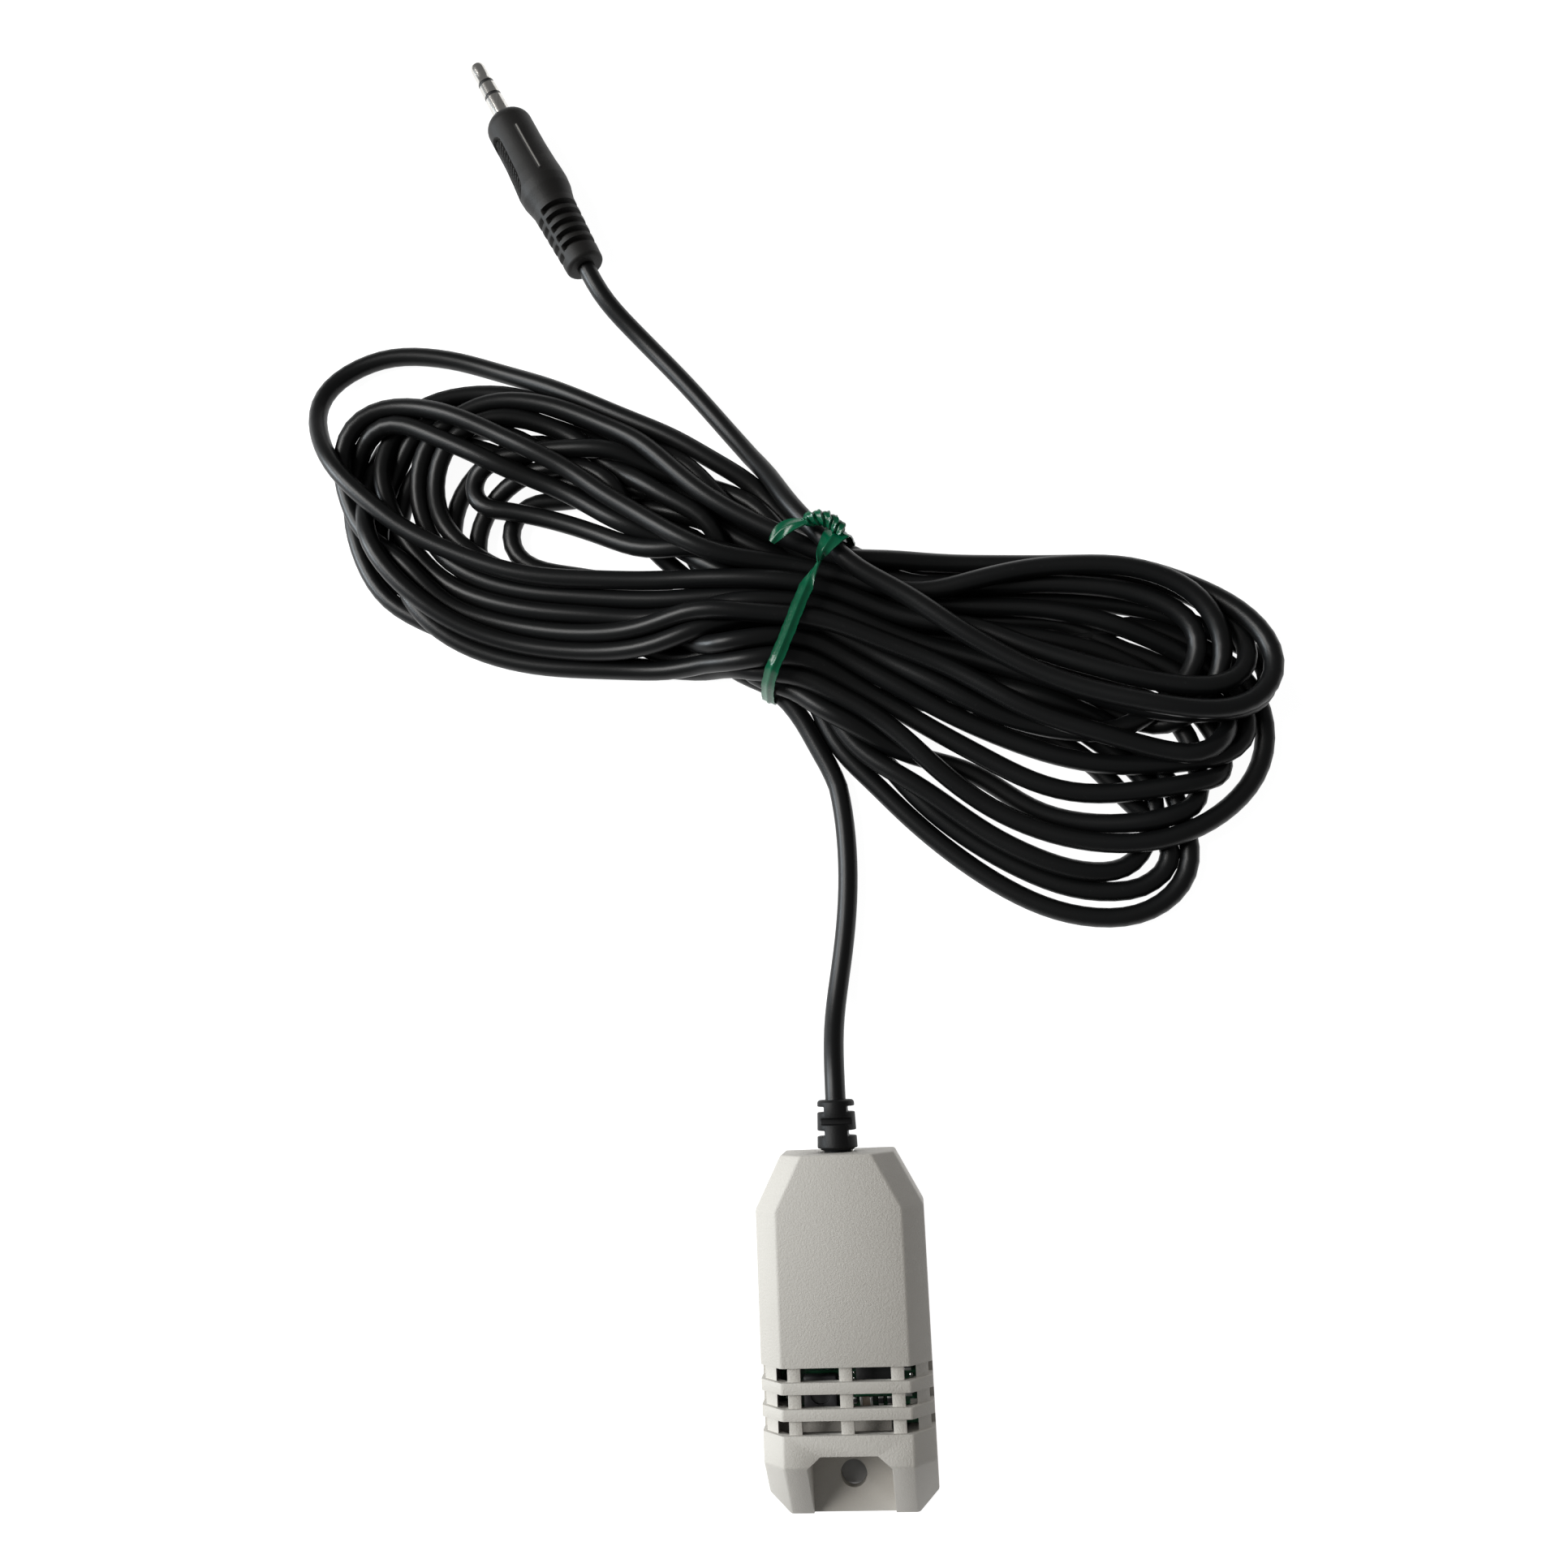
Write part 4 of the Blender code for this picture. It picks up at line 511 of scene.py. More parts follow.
def taut_round(line):
    """The line that a taut band takes round all the strands of the waist, as across and height."""
    along = (line[:, :2] - TIE_MIDDLE) @ ALONG_HANK
    near = line[np.abs(along - TIE_STATION) < TIE_REACH]
    across = (near[:, :2] - TIE_MIDDLE) @ ACROSS_HANK
    reach = CORD_RADIUS + TIE_STANDOFF
    rims = set()
    for turn in np.linspace(0, math.tau, 24, endpoint=False):
        rim_across = np.round(across + reach * math.cos(turn), 3)
        rims.update(zip(rim_across, np.round(near[:, 2] + reach * math.sin(turn), 3)))
    corners = []
    for spots in (sorted(rims), sorted(rims, reverse=True)):
        side = []
        for spot in spots:
            while len(side) > 1:
                (ax, az), (bx, bz) = side[-2], side[-1]
                if (bx - ax) * (spot[1] - az) - (bz - az) * (spot[0] - ax) > 0:
                    break
                side.pop()
            side.append(spot)
        corners += side[:-1]
    return np.array(corners + corners[:1])


def heading(line, index):
    """Which way a line runs at one of its points."""
    return Vector(line[min(index + 1, len(line) - 1)] - line[max(index - 1, 0)]).normalized()


def skin(bm, rings, count):
    """Faces from each ring of points to the next. A ring may be a single point."""
    for first, second in zip(rings, rings[1:]):
        for index in range(count):
            after = (index + 1) % count
            corners = [first[index % len(first)], first[after % len(first)]]
            corners += [second[after % len(second)], second[index % len(second)]]
            bm.faces.new(list(dict.fromkeys(corners)))


def ribbon(bm, line, sides, widths, thickness, ridge):
    """A strip along a line. Its sides say where its edges lie, and a ridge runs down its middle."""
    rows = []
    for index, middle in enumerate(line):
        ahead = heading(line, index)
        side = Vector(sides[index])
        side = (side - ahead * side.dot(ahead)).normalized()
        face = ahead.cross(side)
        half = widths[index] / 2
        core = min(ridge, half * 0.5)
        top = [
            (-half * 0.97, thickness / 2), (-core * 1.1, thickness / 2), (-core * 0.5, ridge),
            (core * 0.5, ridge), (core * 1.1, thickness / 2), (half * 0.97, thickness / 2),
        ]
        section = [(-half, 0.0), *top, (half, 0.0), *((a, -b) for a, b in reversed(top))]
        rows.append([bm.verts.new((Vector(middle) + side * a + face * b) * MM) for a, b in section])
    skin(bm, rows, len(section))
    bm.faces.new(rows[0][::-1])
    bm.faces.new(rows[-1])


def only(piece):
    """Makes one piece the active and only selected one."""
    bpy.ops.object.select_all(action="DESELECT")
    piece.select_set(True)
    bpy.context.view_layer.objects.active = piece


def made(bm, name, smooth):
    """A new piece of this mesh, shaded smooth where its faces meet at less than so many degrees."""
    mesh = bpy.data.meshes.new(name)
    bm.to_mesh(mesh)
    bm.free()
    piece = bpy.data.objects.new(name, mesh)
    bpy.context.collection.objects.link(piece)
    only(piece)
    bpy.ops.object.shade_smooth_by_angle(angle=math.radians(smooth))
    return piece


def put_on(piece, finish, node=None):
    """Gives a piece its finish and, where it has one, its solid's place in the part."""
    piece.data.materials.clear()
    piece.data.materials.append(finish.material)
    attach(piece, "root")
    if node:
        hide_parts(node)


# The band runs from the twist down over the strands, back below them, and up to the twist again.
outline = even_steps(taut_round(cord_line), 240)
start = int(np.argmin(np.abs(outline[:, 0] - 7.6) + np.where(outline[:, 1] > 9, 0, 99)))
outline = np.roll(outline[:-1], -start, axis=0)
outline = softened(np.concatenate((outline, outline[:1])), 6)
if outline[5, 0] > outline[0, 0]:
    outline = outline[::-1]
back_at_twist = (outline[:, 1] > 9) & (outline[:, 0] < 13.6)
late = (np.arange(len(outline)) > len(outline) / 2) & back_at_twist
outline = outline[:int(np.argmax(late))]
band = []
for index, (across, height) in enumerate(outline):
    table = TIE_SLANT if index < len(outline) * 0.45 and height > 6 else TIE_UNDERSIDE
    band.append((np.interp(across, *zip(*table)), across, height))
band = softened(on_hank(band), 8)
sides, widths = [], []
for index in range(len(band)):
    near_fold = max(1 - index / 14, 0)
    turn = Matrix.Rotation(math.radians(75 * near_fold), 3, heading(band, index))
    sides.append(turn @ Vector((*ALONG_HANK, 0.0)))
    ripple = 0.97 + 0.03 * math.sin(index * 0.55) + 0.02 * math.sin(index * 1.4)
    widths.append(TIE_WIDTH * ripple * (1 - 0.5 * near_fold))
bm = bmesh.new()
ribbon(bm, band, sides, widths, TIE_THICKNESS, TIE_RIDGE)

# The fold, where the strip widens out and turns over to meet its other end.
fold = hank_line(FOLD_LINE, FOLD_POINTS)
level = Vector((*(ALONG_HANK + 0.2 * ACROSS_HANK), 0.0))
sides, widths = [], []
for index in range(FOLD_POINTS):
    share = index / (FOLD_POINTS - 1)
    angle = math.radians(70 * max(1 - index / 12, 0) - 14 * share)
    sides.append(Matrix.Rotation(angle, 3, heading(fold, index)) @ level)
    widths.append(1.1 + 3.9 * share ** 1.1)
ribbon(bm, fold, sides, widths, 0.26, 0.3)

# The twist: both ends wound round each other.
twist = hank_line(TWIST_LINE, TWIST_POINTS)
for start_angle in (0.6, 0.6 + math.pi):
    wound, sides = [], []
    for index, spot in enumerate(twist):
        ahead = heading(twist, index)
        level = ahead.cross(Vector((0, 0, 1))).normalized()
        angle = math.tau * TWIST_TURNS * index / (TWIST_POINTS - 1) + start_angle
        wound.append(spot + np.array(Matrix.Rotation(angle, 3, ahead) @ level) * TWIST_RADIUS)
        sides.append(Matrix.Rotation(angle + 1.25, 3, ahead) @ level)
    widths = [1.6 + 0.25 * math.sin(index * 1.1) for index in range(TWIST_POINTS)]
    ribbon(bm, np.array(wound), sides, widths, 0.5, 0.42)

# The tip, flat again and bent back over the hank.
tip = hank_line(TIP_LINE, TIP_POINTS)
sides, widths = [], []
for index in range(TIP_POINTS):
    share = index / (TIP_POINTS - 1)
    ahead = heading(tip, index)
    sides.append(Matrix.Rotation(0.75 - share, 3, ahead) @ ahead.cross(Vector((0, 0, 1))).normalized())
    widths.append(2.9 * math.sin(math.pi * min(0.2 + 0.72 * share, 0.92)) ** 0.7)
ribbon(bm, tip, sides, widths, 0.24, 0.3)
bmesh.ops.recalc_face_normals(bm, faces=bm.faces)
tie = made(bm, "waist_tie", 50)
green = Finish("green_tie_film", Specular_IOR_Level=0.34)
cloud = green.noise(420, 4)
crease = green.noise(1700, 3, 0.6, Distortion=1.2)
worn = crease.between(0.62, 0.8)
clean = green.mixed(cloud, (0.0, 0.050, 0.021), (0.0, 0.085, 0.038))
green.give(
    Base_Color=green.mixed(worn * 0.4, clean, (0.01, 0.19, 0.10)),
    Roughness=0.16 + 0.12 * cloud,
    Normal=green.rough(crease, 0.00006, 0.5),
)
put_on(tie, green, "twist_tie")


# The plug's grip is soft black vinyl, moulded on the cord and the pin in one shot. It has a rounded
# front, a sunk ribbed pad on each side, a thin raised line on top, and at its cord end two sets of
# grooves with a spine between them, so that it bends with the cord.
PLUG_FRONT = (-54.66, 220.82, 5.0)
PLUG_AXIS = (-0.4259, 0.9048, 0.0)
PLUG_ROLL = math.radians(-13)
PLUG_PROFILE = [
    (3.4, 4.45), (9.0, 4.5), (13.0, 4.68), (15.0, 4.86), (17.2, 4.97), (19.0, 4.83), (20.6, 4.45),
    (21.8, 4.2), (28.0, 3.95), (35.0, 3.65),
]
LINE_HEIGHT, LINE_SPAN = 0.22, (5.1, 16.4)
PAD_MIDDLE, PAD_HALF_LENGTH, PAD_HALF_WIDTH, PAD_DEPTH = 11.0, 6.7, 2.3, 0.85
PAD_ANGLES = (PLUG_ROLL + math.radians(82), PLUG_ROLL - math.radians(98))
RIB_PITCH, RIB_HEIGHT = 1.05, 0.5
FIRST_GROOVE, GROOVE_PITCH, GROOVE_HALF_WIDTH, GROOVE_DEPTH, GROOVES = 23.7, 2.08, 0.5, 1.0, 5
GROOVE_ANGLES = ((math.radians(-47), 0.0), (math.radians(133), GROOVE_PITCH / 2))
GRIP_COLUMNS = 144


def risen(value, low, high):
    """0 up to the low end, 1 from the high one on, and smooth between them."""
    part = np.clip((value - low) / (high - low), 0, 1)
    return part * part * (3 - 2 * part)


def turned_by(angle, middle):
    """How far round from a middle angle, from minus to plus half a turn."""
    return (angle - middle + math.pi) % math.tau - math.pi


# Each station of the grip is its radius, how far it lies behind the front, and whether the pads,
# the line and the grooves shape it. The front and the cord end are rounded.
around = np.linspace(0, math.tau, GRIP_COLUMNS, endpoint=False)
stations = [(0.0, 1.4, 0), (1.0, 1.4, 0), (1.8, 1.4, 0), (1.8, 0.1, 0), (1.9, 0.0, 0)]
stations += [(2.05 + 2.4 * math.sin(a), 2.4 - 2.4 * math.cos(a), 0) for a in np.radians(np.arange(0, 91, 9))]
stations += [(float(np.interp(s, *zip(*PLUG_PROFILE))), s, 1) for s in np.arange(2.6, 35.0, 0.16)]
for angle in np.radians((0, 25, 50, 75, 90)):
    stations.append((3.65 - 0.7 * (1 - math.cos(angle)), 35.0 + 0.7 * math.sin(angle), 0))
stations += [(1.5, 35.7, 0), (0.0, 35.7, 0)]
front = Vector(PLUG_FRONT)
axis = Vector(PLUG_AXIS).normalized()
leftward = Vector((0, 0, 1)).cross(axis)
bm = bmesh.new()
mark = bm.verts.layers.float.new("raised_line")
rings = []
for radius, station, formed in stations:
    reach = np.full(GRIP_COLUMNS, radius)
    lined = np.zeros(GRIP_COLUMNS)
    if formed:
        begun = risen(station, LINE_SPAN[0], LINE_SPAN[0] + 0.5)
        ended = risen(station, LINE_SPAN[1] - 0.5, LINE_SPAN[1])
        off_line = np.abs(turned_by(around, PLUG_ROLL)) * radius
        lined = (1 - risen(off_line, 0.1, 0.3)) * begun * (1 - ended)
        reach = reach + LINE_HEIGHT * lined
        for middle in PAD_ANGLES:
            arc = turned_by(around, middle) * radius
            past_end = max(abs(station - PAD_MIDDLE) - PAD_HALF_LENGTH + PAD_HALF_WIDTH, 0)
            inside = PAD_HALF_WIDTH - np.hypot(past_end, arc)
            ribs = 0.5 + 0.5 * np.cos(math.tau * (station - PAD_MIDDLE - 0.5 * arc) / RIB_PITCH)
            reach = reach - PAD_DEPTH * risen(inside, 0, 0.2) + RIB_HEIGHT * ribs * risen(inside, 0.3, 0.55)
        for middle, offset in GROOVE_ANGLES:
            span = 1 - risen(np.abs(turned_by(around, middle)), math.radians(80), math.radians(86))
            for index in range(GROOVES):
                off = abs(station - FIRST_GROOVE - offset - index * GROOVE_PITCH)
                groove = 1 - risen(off, GROOVE_HALF_WIDTH - 0.16, GROOVE_HALF_WIDTH + 0.1)
                reach = reach - GROOVE_DEPTH * span * groove
    middle = front - axis * station
    if radius == 0:
        rings.append([bm.verts.new(middle * MM)])
        continue
    ring = []
    for angle, far, raised in zip(around, reach, lined):
        out = Vector((0, 0, 1)) * math.cos(angle) + leftward * math.sin(angle)
        vert = bm.verts.new((middle + out * far) * MM)
        vert[mark] = raised
        ring.append(vert)
    rings.append(ring)
skin(bm, rings, GRIP_COLUMNS)
bmesh.ops.recalc_face_normals(bm, faces=bm.faces)
grip = made(bm, "plug_grip", 60)

plug_vinyl = Finish("plug_black_vinyl", Specular_IOR_Level=0.18)
cloud = plug_vinyl.noise(160, 4)
grain = plug_vinyl.noise(3800, 2)
worn_here = plug_vinyl.noise(190, 2).between(0.5, 0.62)
scuff = plug_vinyl.noise(1300, 5, 0.7, Distortion=0.4).between(0.6, 0.72) * worn_here
raised_line = plug_vinyl.add("ShaderNodeAttribute", {"attribute_name": "raised_line"}, {}, "Fac")
worn_line = raised_line.between(0.5, 0.9)
clean = plug_vinyl.mixed(cloud, (0.012, 0.0115, 0.011), (0.018, 0.0172, 0.0165))
scuffed = plug_vinyl.mixed(scuff * 0.6, clean, (0.045, 0.047, 0.05))
plug_vinyl.give(
    Base_Color=plug_vinyl.mixed(worn_line * (0.6 + 0.4 * grain), scuffed, (0.30, 0.29, 0.27)),
    Roughness=0.46 + 0.1 * cloud + 0.2 * scuff,
    Normal=plug_vinyl.rough(grain, 0.00004, 0.6),
)
put_on(grip, plug_vinyl, "plug_body")


# The pin is a turned brass core with bright nickel plating, in three parts that two black rings keep
# apart: the tip with its faint waist, the ring, and the sleeve that runs into the grip. Each part is
# given as places back from the pin's end with the radius there.
PIN_END = (-60.3, 232.8, 5.0)
PIN_PARTS = {
    "tip": [
        (0.0, 0.0), (0.02, 0.7), (0.08, 1.02), (0.2, 1.22), (0.45, 1.36), (0.9, 1.43), (1.5, 1.45),
        (2.4, 1.43), (3.2, 1.42), (3.7, 1.47), (4.05, 1.54), (4.3, 1.6), (4.5, 1.61), (4.55, 1.57),
        (4.55, 0.0),
    ],
    "insulator_front": [(4.6, 0.0), (4.6, 1.5), (4.65, 1.55), (5.05, 1.58), (5.1, 1.53), (5.1, 0.0)],
    "ring": [(5.15, 0.0), (5.15, 1.6), (5.2, 1.65), (6.4, 1.68), (7.6, 1.7), (7.65, 1.65), (7.65, 0.0)],
    "insulator_rear": [(7.7, 0.0), (7.7, 1.6), (7.75, 1.65), (8.15, 1.67), (8.2, 1.62), (8.2, 0.0)],
    "sleeve": [(8.25, 0.0), (8.25, 1.67), (8.3, 1.72), (9.5, 1.74), (11.0, 1.75), (15.6, 1.75), (15.6, 0.0)],
}
PIN_COLUMNS = 72


def lathed(name, profile):
    """A round piece of the pin, from places back from the pin's end and the radius there."""
    bm = bmesh.new()
    rings = []
    for back, radius in profile:
        middle = Vector(PIN_END) - axis * back
        angles = [math.tau * index / PIN_COLUMNS for index in range(PIN_COLUMNS if radius else 1)]
        outs = [Vector((0, 0, 1)) * math.cos(angle) + leftward * math.sin(angle) for angle in angles]
        rings.append([bm.verts.new((middle + out * radius) * MM) for out in outs])
    skin(bm, rings, PIN_COLUMNS)
    bmesh.ops.recalc_face_normals(bm, faces=bm.faces)
    return made(bm, name, 40)


nickel = Finish("pin_bright_nickel", Metallic=1.0)
cloud = nickel.noise(240, 4)
streaks = nickel.noise(900, 4, 0.6, nickel.stretched((0, 0, math.radians(-25.2)), (3.0, 0.06, 1.0)))
fine = nickel.noise(2600, 4, 0.65)
nickel.give(
    Base_Color=nickel.mixed(streaks.between(0.3, 0.75), (0.56, 0.54, 0.51), (0.68, 0.665, 0.64)),
    Roughness=0.17 + 0.04 * fine.between(0.55, 0.75) + 0.04 * cloud,
)
ring_black = Finish("pin_black_ring", Specular_IOR_Level=0.5)
cloud = ring_black.noise(900, 3)
ring_black.give(
    Base_Color=ring_black.mixed(cloud, (0.01, 0.01, 0.01), (0.02, 0.02, 0.021)),
    Roughness=0.28 + 0.14 * cloud,
    Normal=ring_black.rough(cloud, 0.00002, 0.4),
)
pin_parts = []
for part, profile in PIN_PARTS.items():
    pin_parts.append(lathed(f"pin_{part}", profile))
    if "insulator" in part:
        put_on(pin_parts[-1], ring_black, f"plug_{part}")
    else:
        put_on(pin_parts[-1], nickel, f"plug_{part}")


# The strain relief is the same soft vinyl, moulded on the cord. Its flange sits inside the housing,
# and the boot outside is notched so that it bends in steps.
def edge_radius(piece, radius, smooth=30, sharp=30):
    """Rounds the edges that are sharper than one angle, and shades smooth below another."""
    if radius:
        edge = piece.modifiers.new("edge radius", "BEVEL")
        edge.width = radius * MM
        edge.segments = 2
        edge.limit_method = "ANGLE"
        edge.angle_limit = math.radians(sharp)
        edge.miter_outer = "MITER_ARC"
        bpy.ops.object.modifier_apply(modifier="edge radius")
    bpy.ops.object.shade_smooth_by_angle(angle=math.radians(smooth))


def rounded(node, name, radius, smooth=30, sharp=30):
    """A new piece in a solid's place, with the small radius that its edges really have."""
    piece = bpy.data.objects.new(name, nodes[node].data.copy())
    bpy.context.collection.objects.link(piece)
    only(piece)
    bpy.ops.object.mode_set(mode="EDIT")
    bpy.ops.mesh.select_all(action="SELECT")
    bpy.ops.mesh.remove_doubles(threshold=0.000002)
    bpy.ops.mesh.dissolve_limited(angle_limit=math.radians(0.6))
    bpy.ops.object.mode_set(mode="OBJECT")
    edge_radius(piece, radius, smooth, sharp)
    return piece


relief_vinyl = Finish("relief_black_vinyl", Specular_IOR_Level=0.16)
cloud = relief_vinyl.noise(190, 4)
grain = relief_vinyl.noise(3400, 3)
dust = relief_vinyl.noise(1500, 5, 0.7).between(0.62, 0.78)
clean = relief_vinyl.mixed(cloud, (0.004, 0.004, 0.0042), (0.008, 0.008, 0.0082))
relief_vinyl.give(
    Base_Color=relief_vinyl.mixed(dust * 0.5, clean, (0.03, 0.03, 0.03)),
    Roughness=0.42 + 0.12 * cloud,
    Normal=relief_vinyl.rough(grain, 0.00004, 0.6),
)
boot = rounded("strain_relief", "relief_boot", 0.16, 35)
put_on(boot, relief_vinyl, "strain_relief")


# The back cover is a flat moulded lid that drops into the open back. It carries two standoffs, two
# posts, and the tongue that closes the housing's slot below the cord.
lid_plastic = Finish("lid_warm_grey_plastic", Specular_IOR_Level=0.4)
cloud = lid_plastic.noise(70, 4)
grain = lid_plastic.noise(2300, 4, 0.6)
smudge = lid_plastic.noise(260, 6, 0.75).between(0.66, 0.74)
clean = lid_plastic.mixed(cloud, (0.50, 0.48, 0.44), (0.56, 0.54, 0.50))
lid_plastic.give(
    Base_Color=lid_plastic.mixed(smudge * 0.35, clean, (0.36, 0.34, 0.31)),
    Roughness=0.5 + 0.1 * cloud,
    Normal=lid_plastic.rough(grain, 0.00005, 0.6),
)
put_on(rounded("back_cover", "back_lid", 0.15), lid_plastic, "back_cover")


# The front cover is one injection-moulded shell of fine-textured, warm grey plastic. Its long edges
# are chamfered, three slots cross it, and a recess at the nose holds the mounting screw.
shell_plastic = Finish("shell_warm_grey_plastic", Specular_IOR_Level=0.4)
cloud = shell_plastic.noise(55, 4)
grain = shell_plastic.noise(3600, 4, 0.6)
speck = shell_plastic.noise(1900, 5, 0.7).between(0.66, 0.74)
smudge = shell_plastic.noise(150, 5, 0.7).between(0.64, 0.74)
clean = shell_plastic.mixed(cloud, (0.41, 0.39, 0.355), (0.455, 0.435, 0.40))
shell_plastic.give(
    Base_Color=shell_plastic.mixed(speck * 0.3 + smudge * 0.22, clean, (0.27, 0.25, 0.22)),
    Roughness=0.5 + 0.12 * cloud + 0.05 * grain,
    Normal=shell_plastic.rough(grain, 0.00009, 0.9),
)
put_on(rounded("front_cover", "front_shell", 0.12, sharp=40), shell_plastic, "front_cover")

# A shelf of the same plastic as the shell stands over the end of the board, below the last slot, so
# that nothing drops through that slot on the circuit. It is moulded with the shell.
SHELF_WIDTH, SHELF_DEPTH, SHELF_THICKNESS, SHELF_FALL = 17.8, 3.4, 1.0, 0.8
SHELF_MIDDLE = Vector((-2.3, -12.8, 6.95))
bpy.ops.object.select_all(action="DESELECT")
bpy.ops.mesh.primitive_cube_add(size=1)
shelf = bpy.context.active_object
shelf.name = "slot_shelf"
for vert in shelf.data.vertices:
    across, along, up = vert.co
    off = Vector((SHELF_WIDTH * across, SHELF_DEPTH * along, SHELF_THICKNESS * up - SHELF_FALL * along))
    vert.co = (SHELF_MIDDLE + off) * MM
edge_radius(shelf, 0.2)
put_on(shelf, shell_plastic)


# Two zinc-plated steel screws with countersunk cross heads hold the covers and the board together.
# They are driven from the back, where their heads lie just under the lid's face.
zinc = Finish("screw_zinc", Metallic=1.0)
cloud = zinc.noise(700, 4)
scratch = zinc.noise(5200, 3, 0.6)
zinc.give(
    Base_Color=zinc.mixed(cloud, (0.46, 0.46, 0.47), (0.60, 0.60, 0.60)),
    Roughness=0.26 + 0.18 * cloud,
    Normal=zinc.rough(scratch, 0.00001, 0.5),
)
for side in ("left", "right"):
    node = f"cover_screw_{side}"
    put_on(rounded(node, f"{side}_screw", 0.05), zinc, node)


# The circuit board is green glass laminate with copper tracks under its mask. It lies across the
# housing behind the slots, on the lid's posts and standoffs.
board_green = Finish("board_green_mask", Specular_IOR_Level=0.55)
cloud = board_green.noise(130, 3)
weave = board_green.add(
    "ShaderNodeTexWave", {"wave_type": "BANDS", "bands_direction": "X"},
    {"Vector": board_green.place, "Scale": 1400.0}, "Fac",
)
tracks = board_green.add(
    "ShaderNodeTexBrick", {"offset": 0.5, "squash": 1.0},
    {
        "Vector": board_green.place, "Scale": 420.0, "Mortar Size": 0.09, "Mortar Smooth": 0.1,
        "Brick Width": 1.4, "Row Height": 0.5,
    }, "Fac",
)
bare = board_green.mixed(cloud, (0.003, 0.022, 0.010), (0.004, 0.032, 0.014))
board_green.give(
    Base_Color=board_green.mixed(tracks, bare, (0.008, 0.065, 0.028)),
    Roughness=0.24 + 0.1 * cloud,
    Normal=board_green.rough(tracks + 0.15 * weave, 0.00003, 0.7),
)
put_on(rounded("circuit_board", "green_board", 0.05), board_green, "circuit_board")


# The controller is an integrated circuit in a black moulded package. Its eight tinned leads are
# soldered to the board behind the first two slots.
CHIP_MIDDLE = -5.9
CHIP_EDGE = (0.00222, 0.00226)
chip_black = Finish("chip_black_compound", Specular_IOR_Level=0.4)
tinned = (chip_black.along("Y") - CHIP_MIDDLE * MM).size().between(*CHIP_EDGE)
cloud = chip_black.noise(800, 3)
grain = chip_black.noise(9000, 3)
compound = chip_black.mixed(cloud, (0.012, 0.012, 0.013), (0.02, 0.02, 0.022))
chip_black.give(
    Base_Color=chip_black.mixed(tinned, compound, (0.62, 0.62, 0.61)),
    Metallic=tinned,
    Roughness=0.5 - 0.22 * tinned + 0.08 * cloud,
    Normal=chip_black.rough(grain, 0.00001, 0.5),
)
put_on(rounded("controller_chip", "controller", 0.04), chip_black, "controller_chip")


# Three resistors and three capacitors of the flat kind stand on the board. Each is a ceramic body
# with a tinned cap on both ends, set in solder.
def two_ended(name, first, second):
    """A ceramic finish whose ends are tinned, for parts that lie along X or Y."""
    finish = Finish(name, Specular_IOR_Level=0.5)
    lengthwise = finish.along("X", finish.add("ShaderNodeUVMap", {}, {}))
    cap = (lengthwise - 0.5).size().between(0.28, 0.32)
    cloud = finish.noise(1500, 4)
    finish.give(
        Base_Color=finish.mixed(cap, finish.mixed(cloud, first, second), (0.6, 0.6, 0.59)),
        Metallic=cap,
        Roughness=0.42 - 0.14 * cap + 0.12 * cloud,
        Normal=finish.rough(cloud, 0.00002, 0.5),
    )
    return finish


def lengthwise_map(piece, axis):
    """A map whose first coordinate runs from 0 to 1 along the piece."""
    spots = np.array([v.co[axis] for v in piece.data.vertices])
    low, high = spots.min(), spots.max()
    layer = piece.data.uv_layers.new(name="along")
    for loop in piece.data.loops:
        layer.data[loop.index].uv = ((spots[loop.vertex_index] - low) / (high - low), 0.5)


resistor = two_ended("resistor_black_glaze", (0.012, 0.012, 0.014), (0.024, 0.024, 0.027))
capacitor = two_ended("capacitor_brown_ceramic", (0.10, 0.08, 0.06), (0.16, 0.13, 0.10))
for kind, finish in (("resistor", resistor), ("capacitor", capacitor)):
    for number in (1, 2, 3):
        node = f"chip_{kind}_{number}"
        low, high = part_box(node)
        part = rounded(node, f"{kind}_{number}", 0.03)
        lengthwise_map(part, 0 if high.x - low.x > high.y - low.y else 1)
        put_on(part, finish, node)

# Five smaller ones without a solid of their own stand between them, where they show in the slots.
SMALL_PARTS = [
    (-1.0, -6.4, 0.8, 1.6), (-1.05, -10.3, 0.6, 1.2), (0.95, -10.2, 0.5, 1.0), (5.0, -10.3, 0.8, 1.3),
    (6.4, -10.3, 0.8, 1.3),
]
SMALL_PART_MIDDLE, SMALL_PART_HEIGHT = 6.48, 0.52
bm = bmesh.new()
ends = bm.loops.layers.uv.new("along")
for x, y, width, length in SMALL_PARTS:
    size = Matrix.Diagonal((width * MM, length * MM, SMALL_PART_HEIGHT * MM, 1))
    place = Matrix.Translation((x * MM, y * MM, SMALL_PART_MIDDLE * MM)) @ size
    for vert in bmesh.ops.create_cube(bm, size=1, matrix=place)["verts"]:
        for loop in vert.link_loops:
            loop[ends].uv = ((vert.co.y / MM - y) / length + 0.5, 0.5)
small = made(bm, "small_parts", 180)
edge_radius(small, 0.06)
put_on(small, resistor)


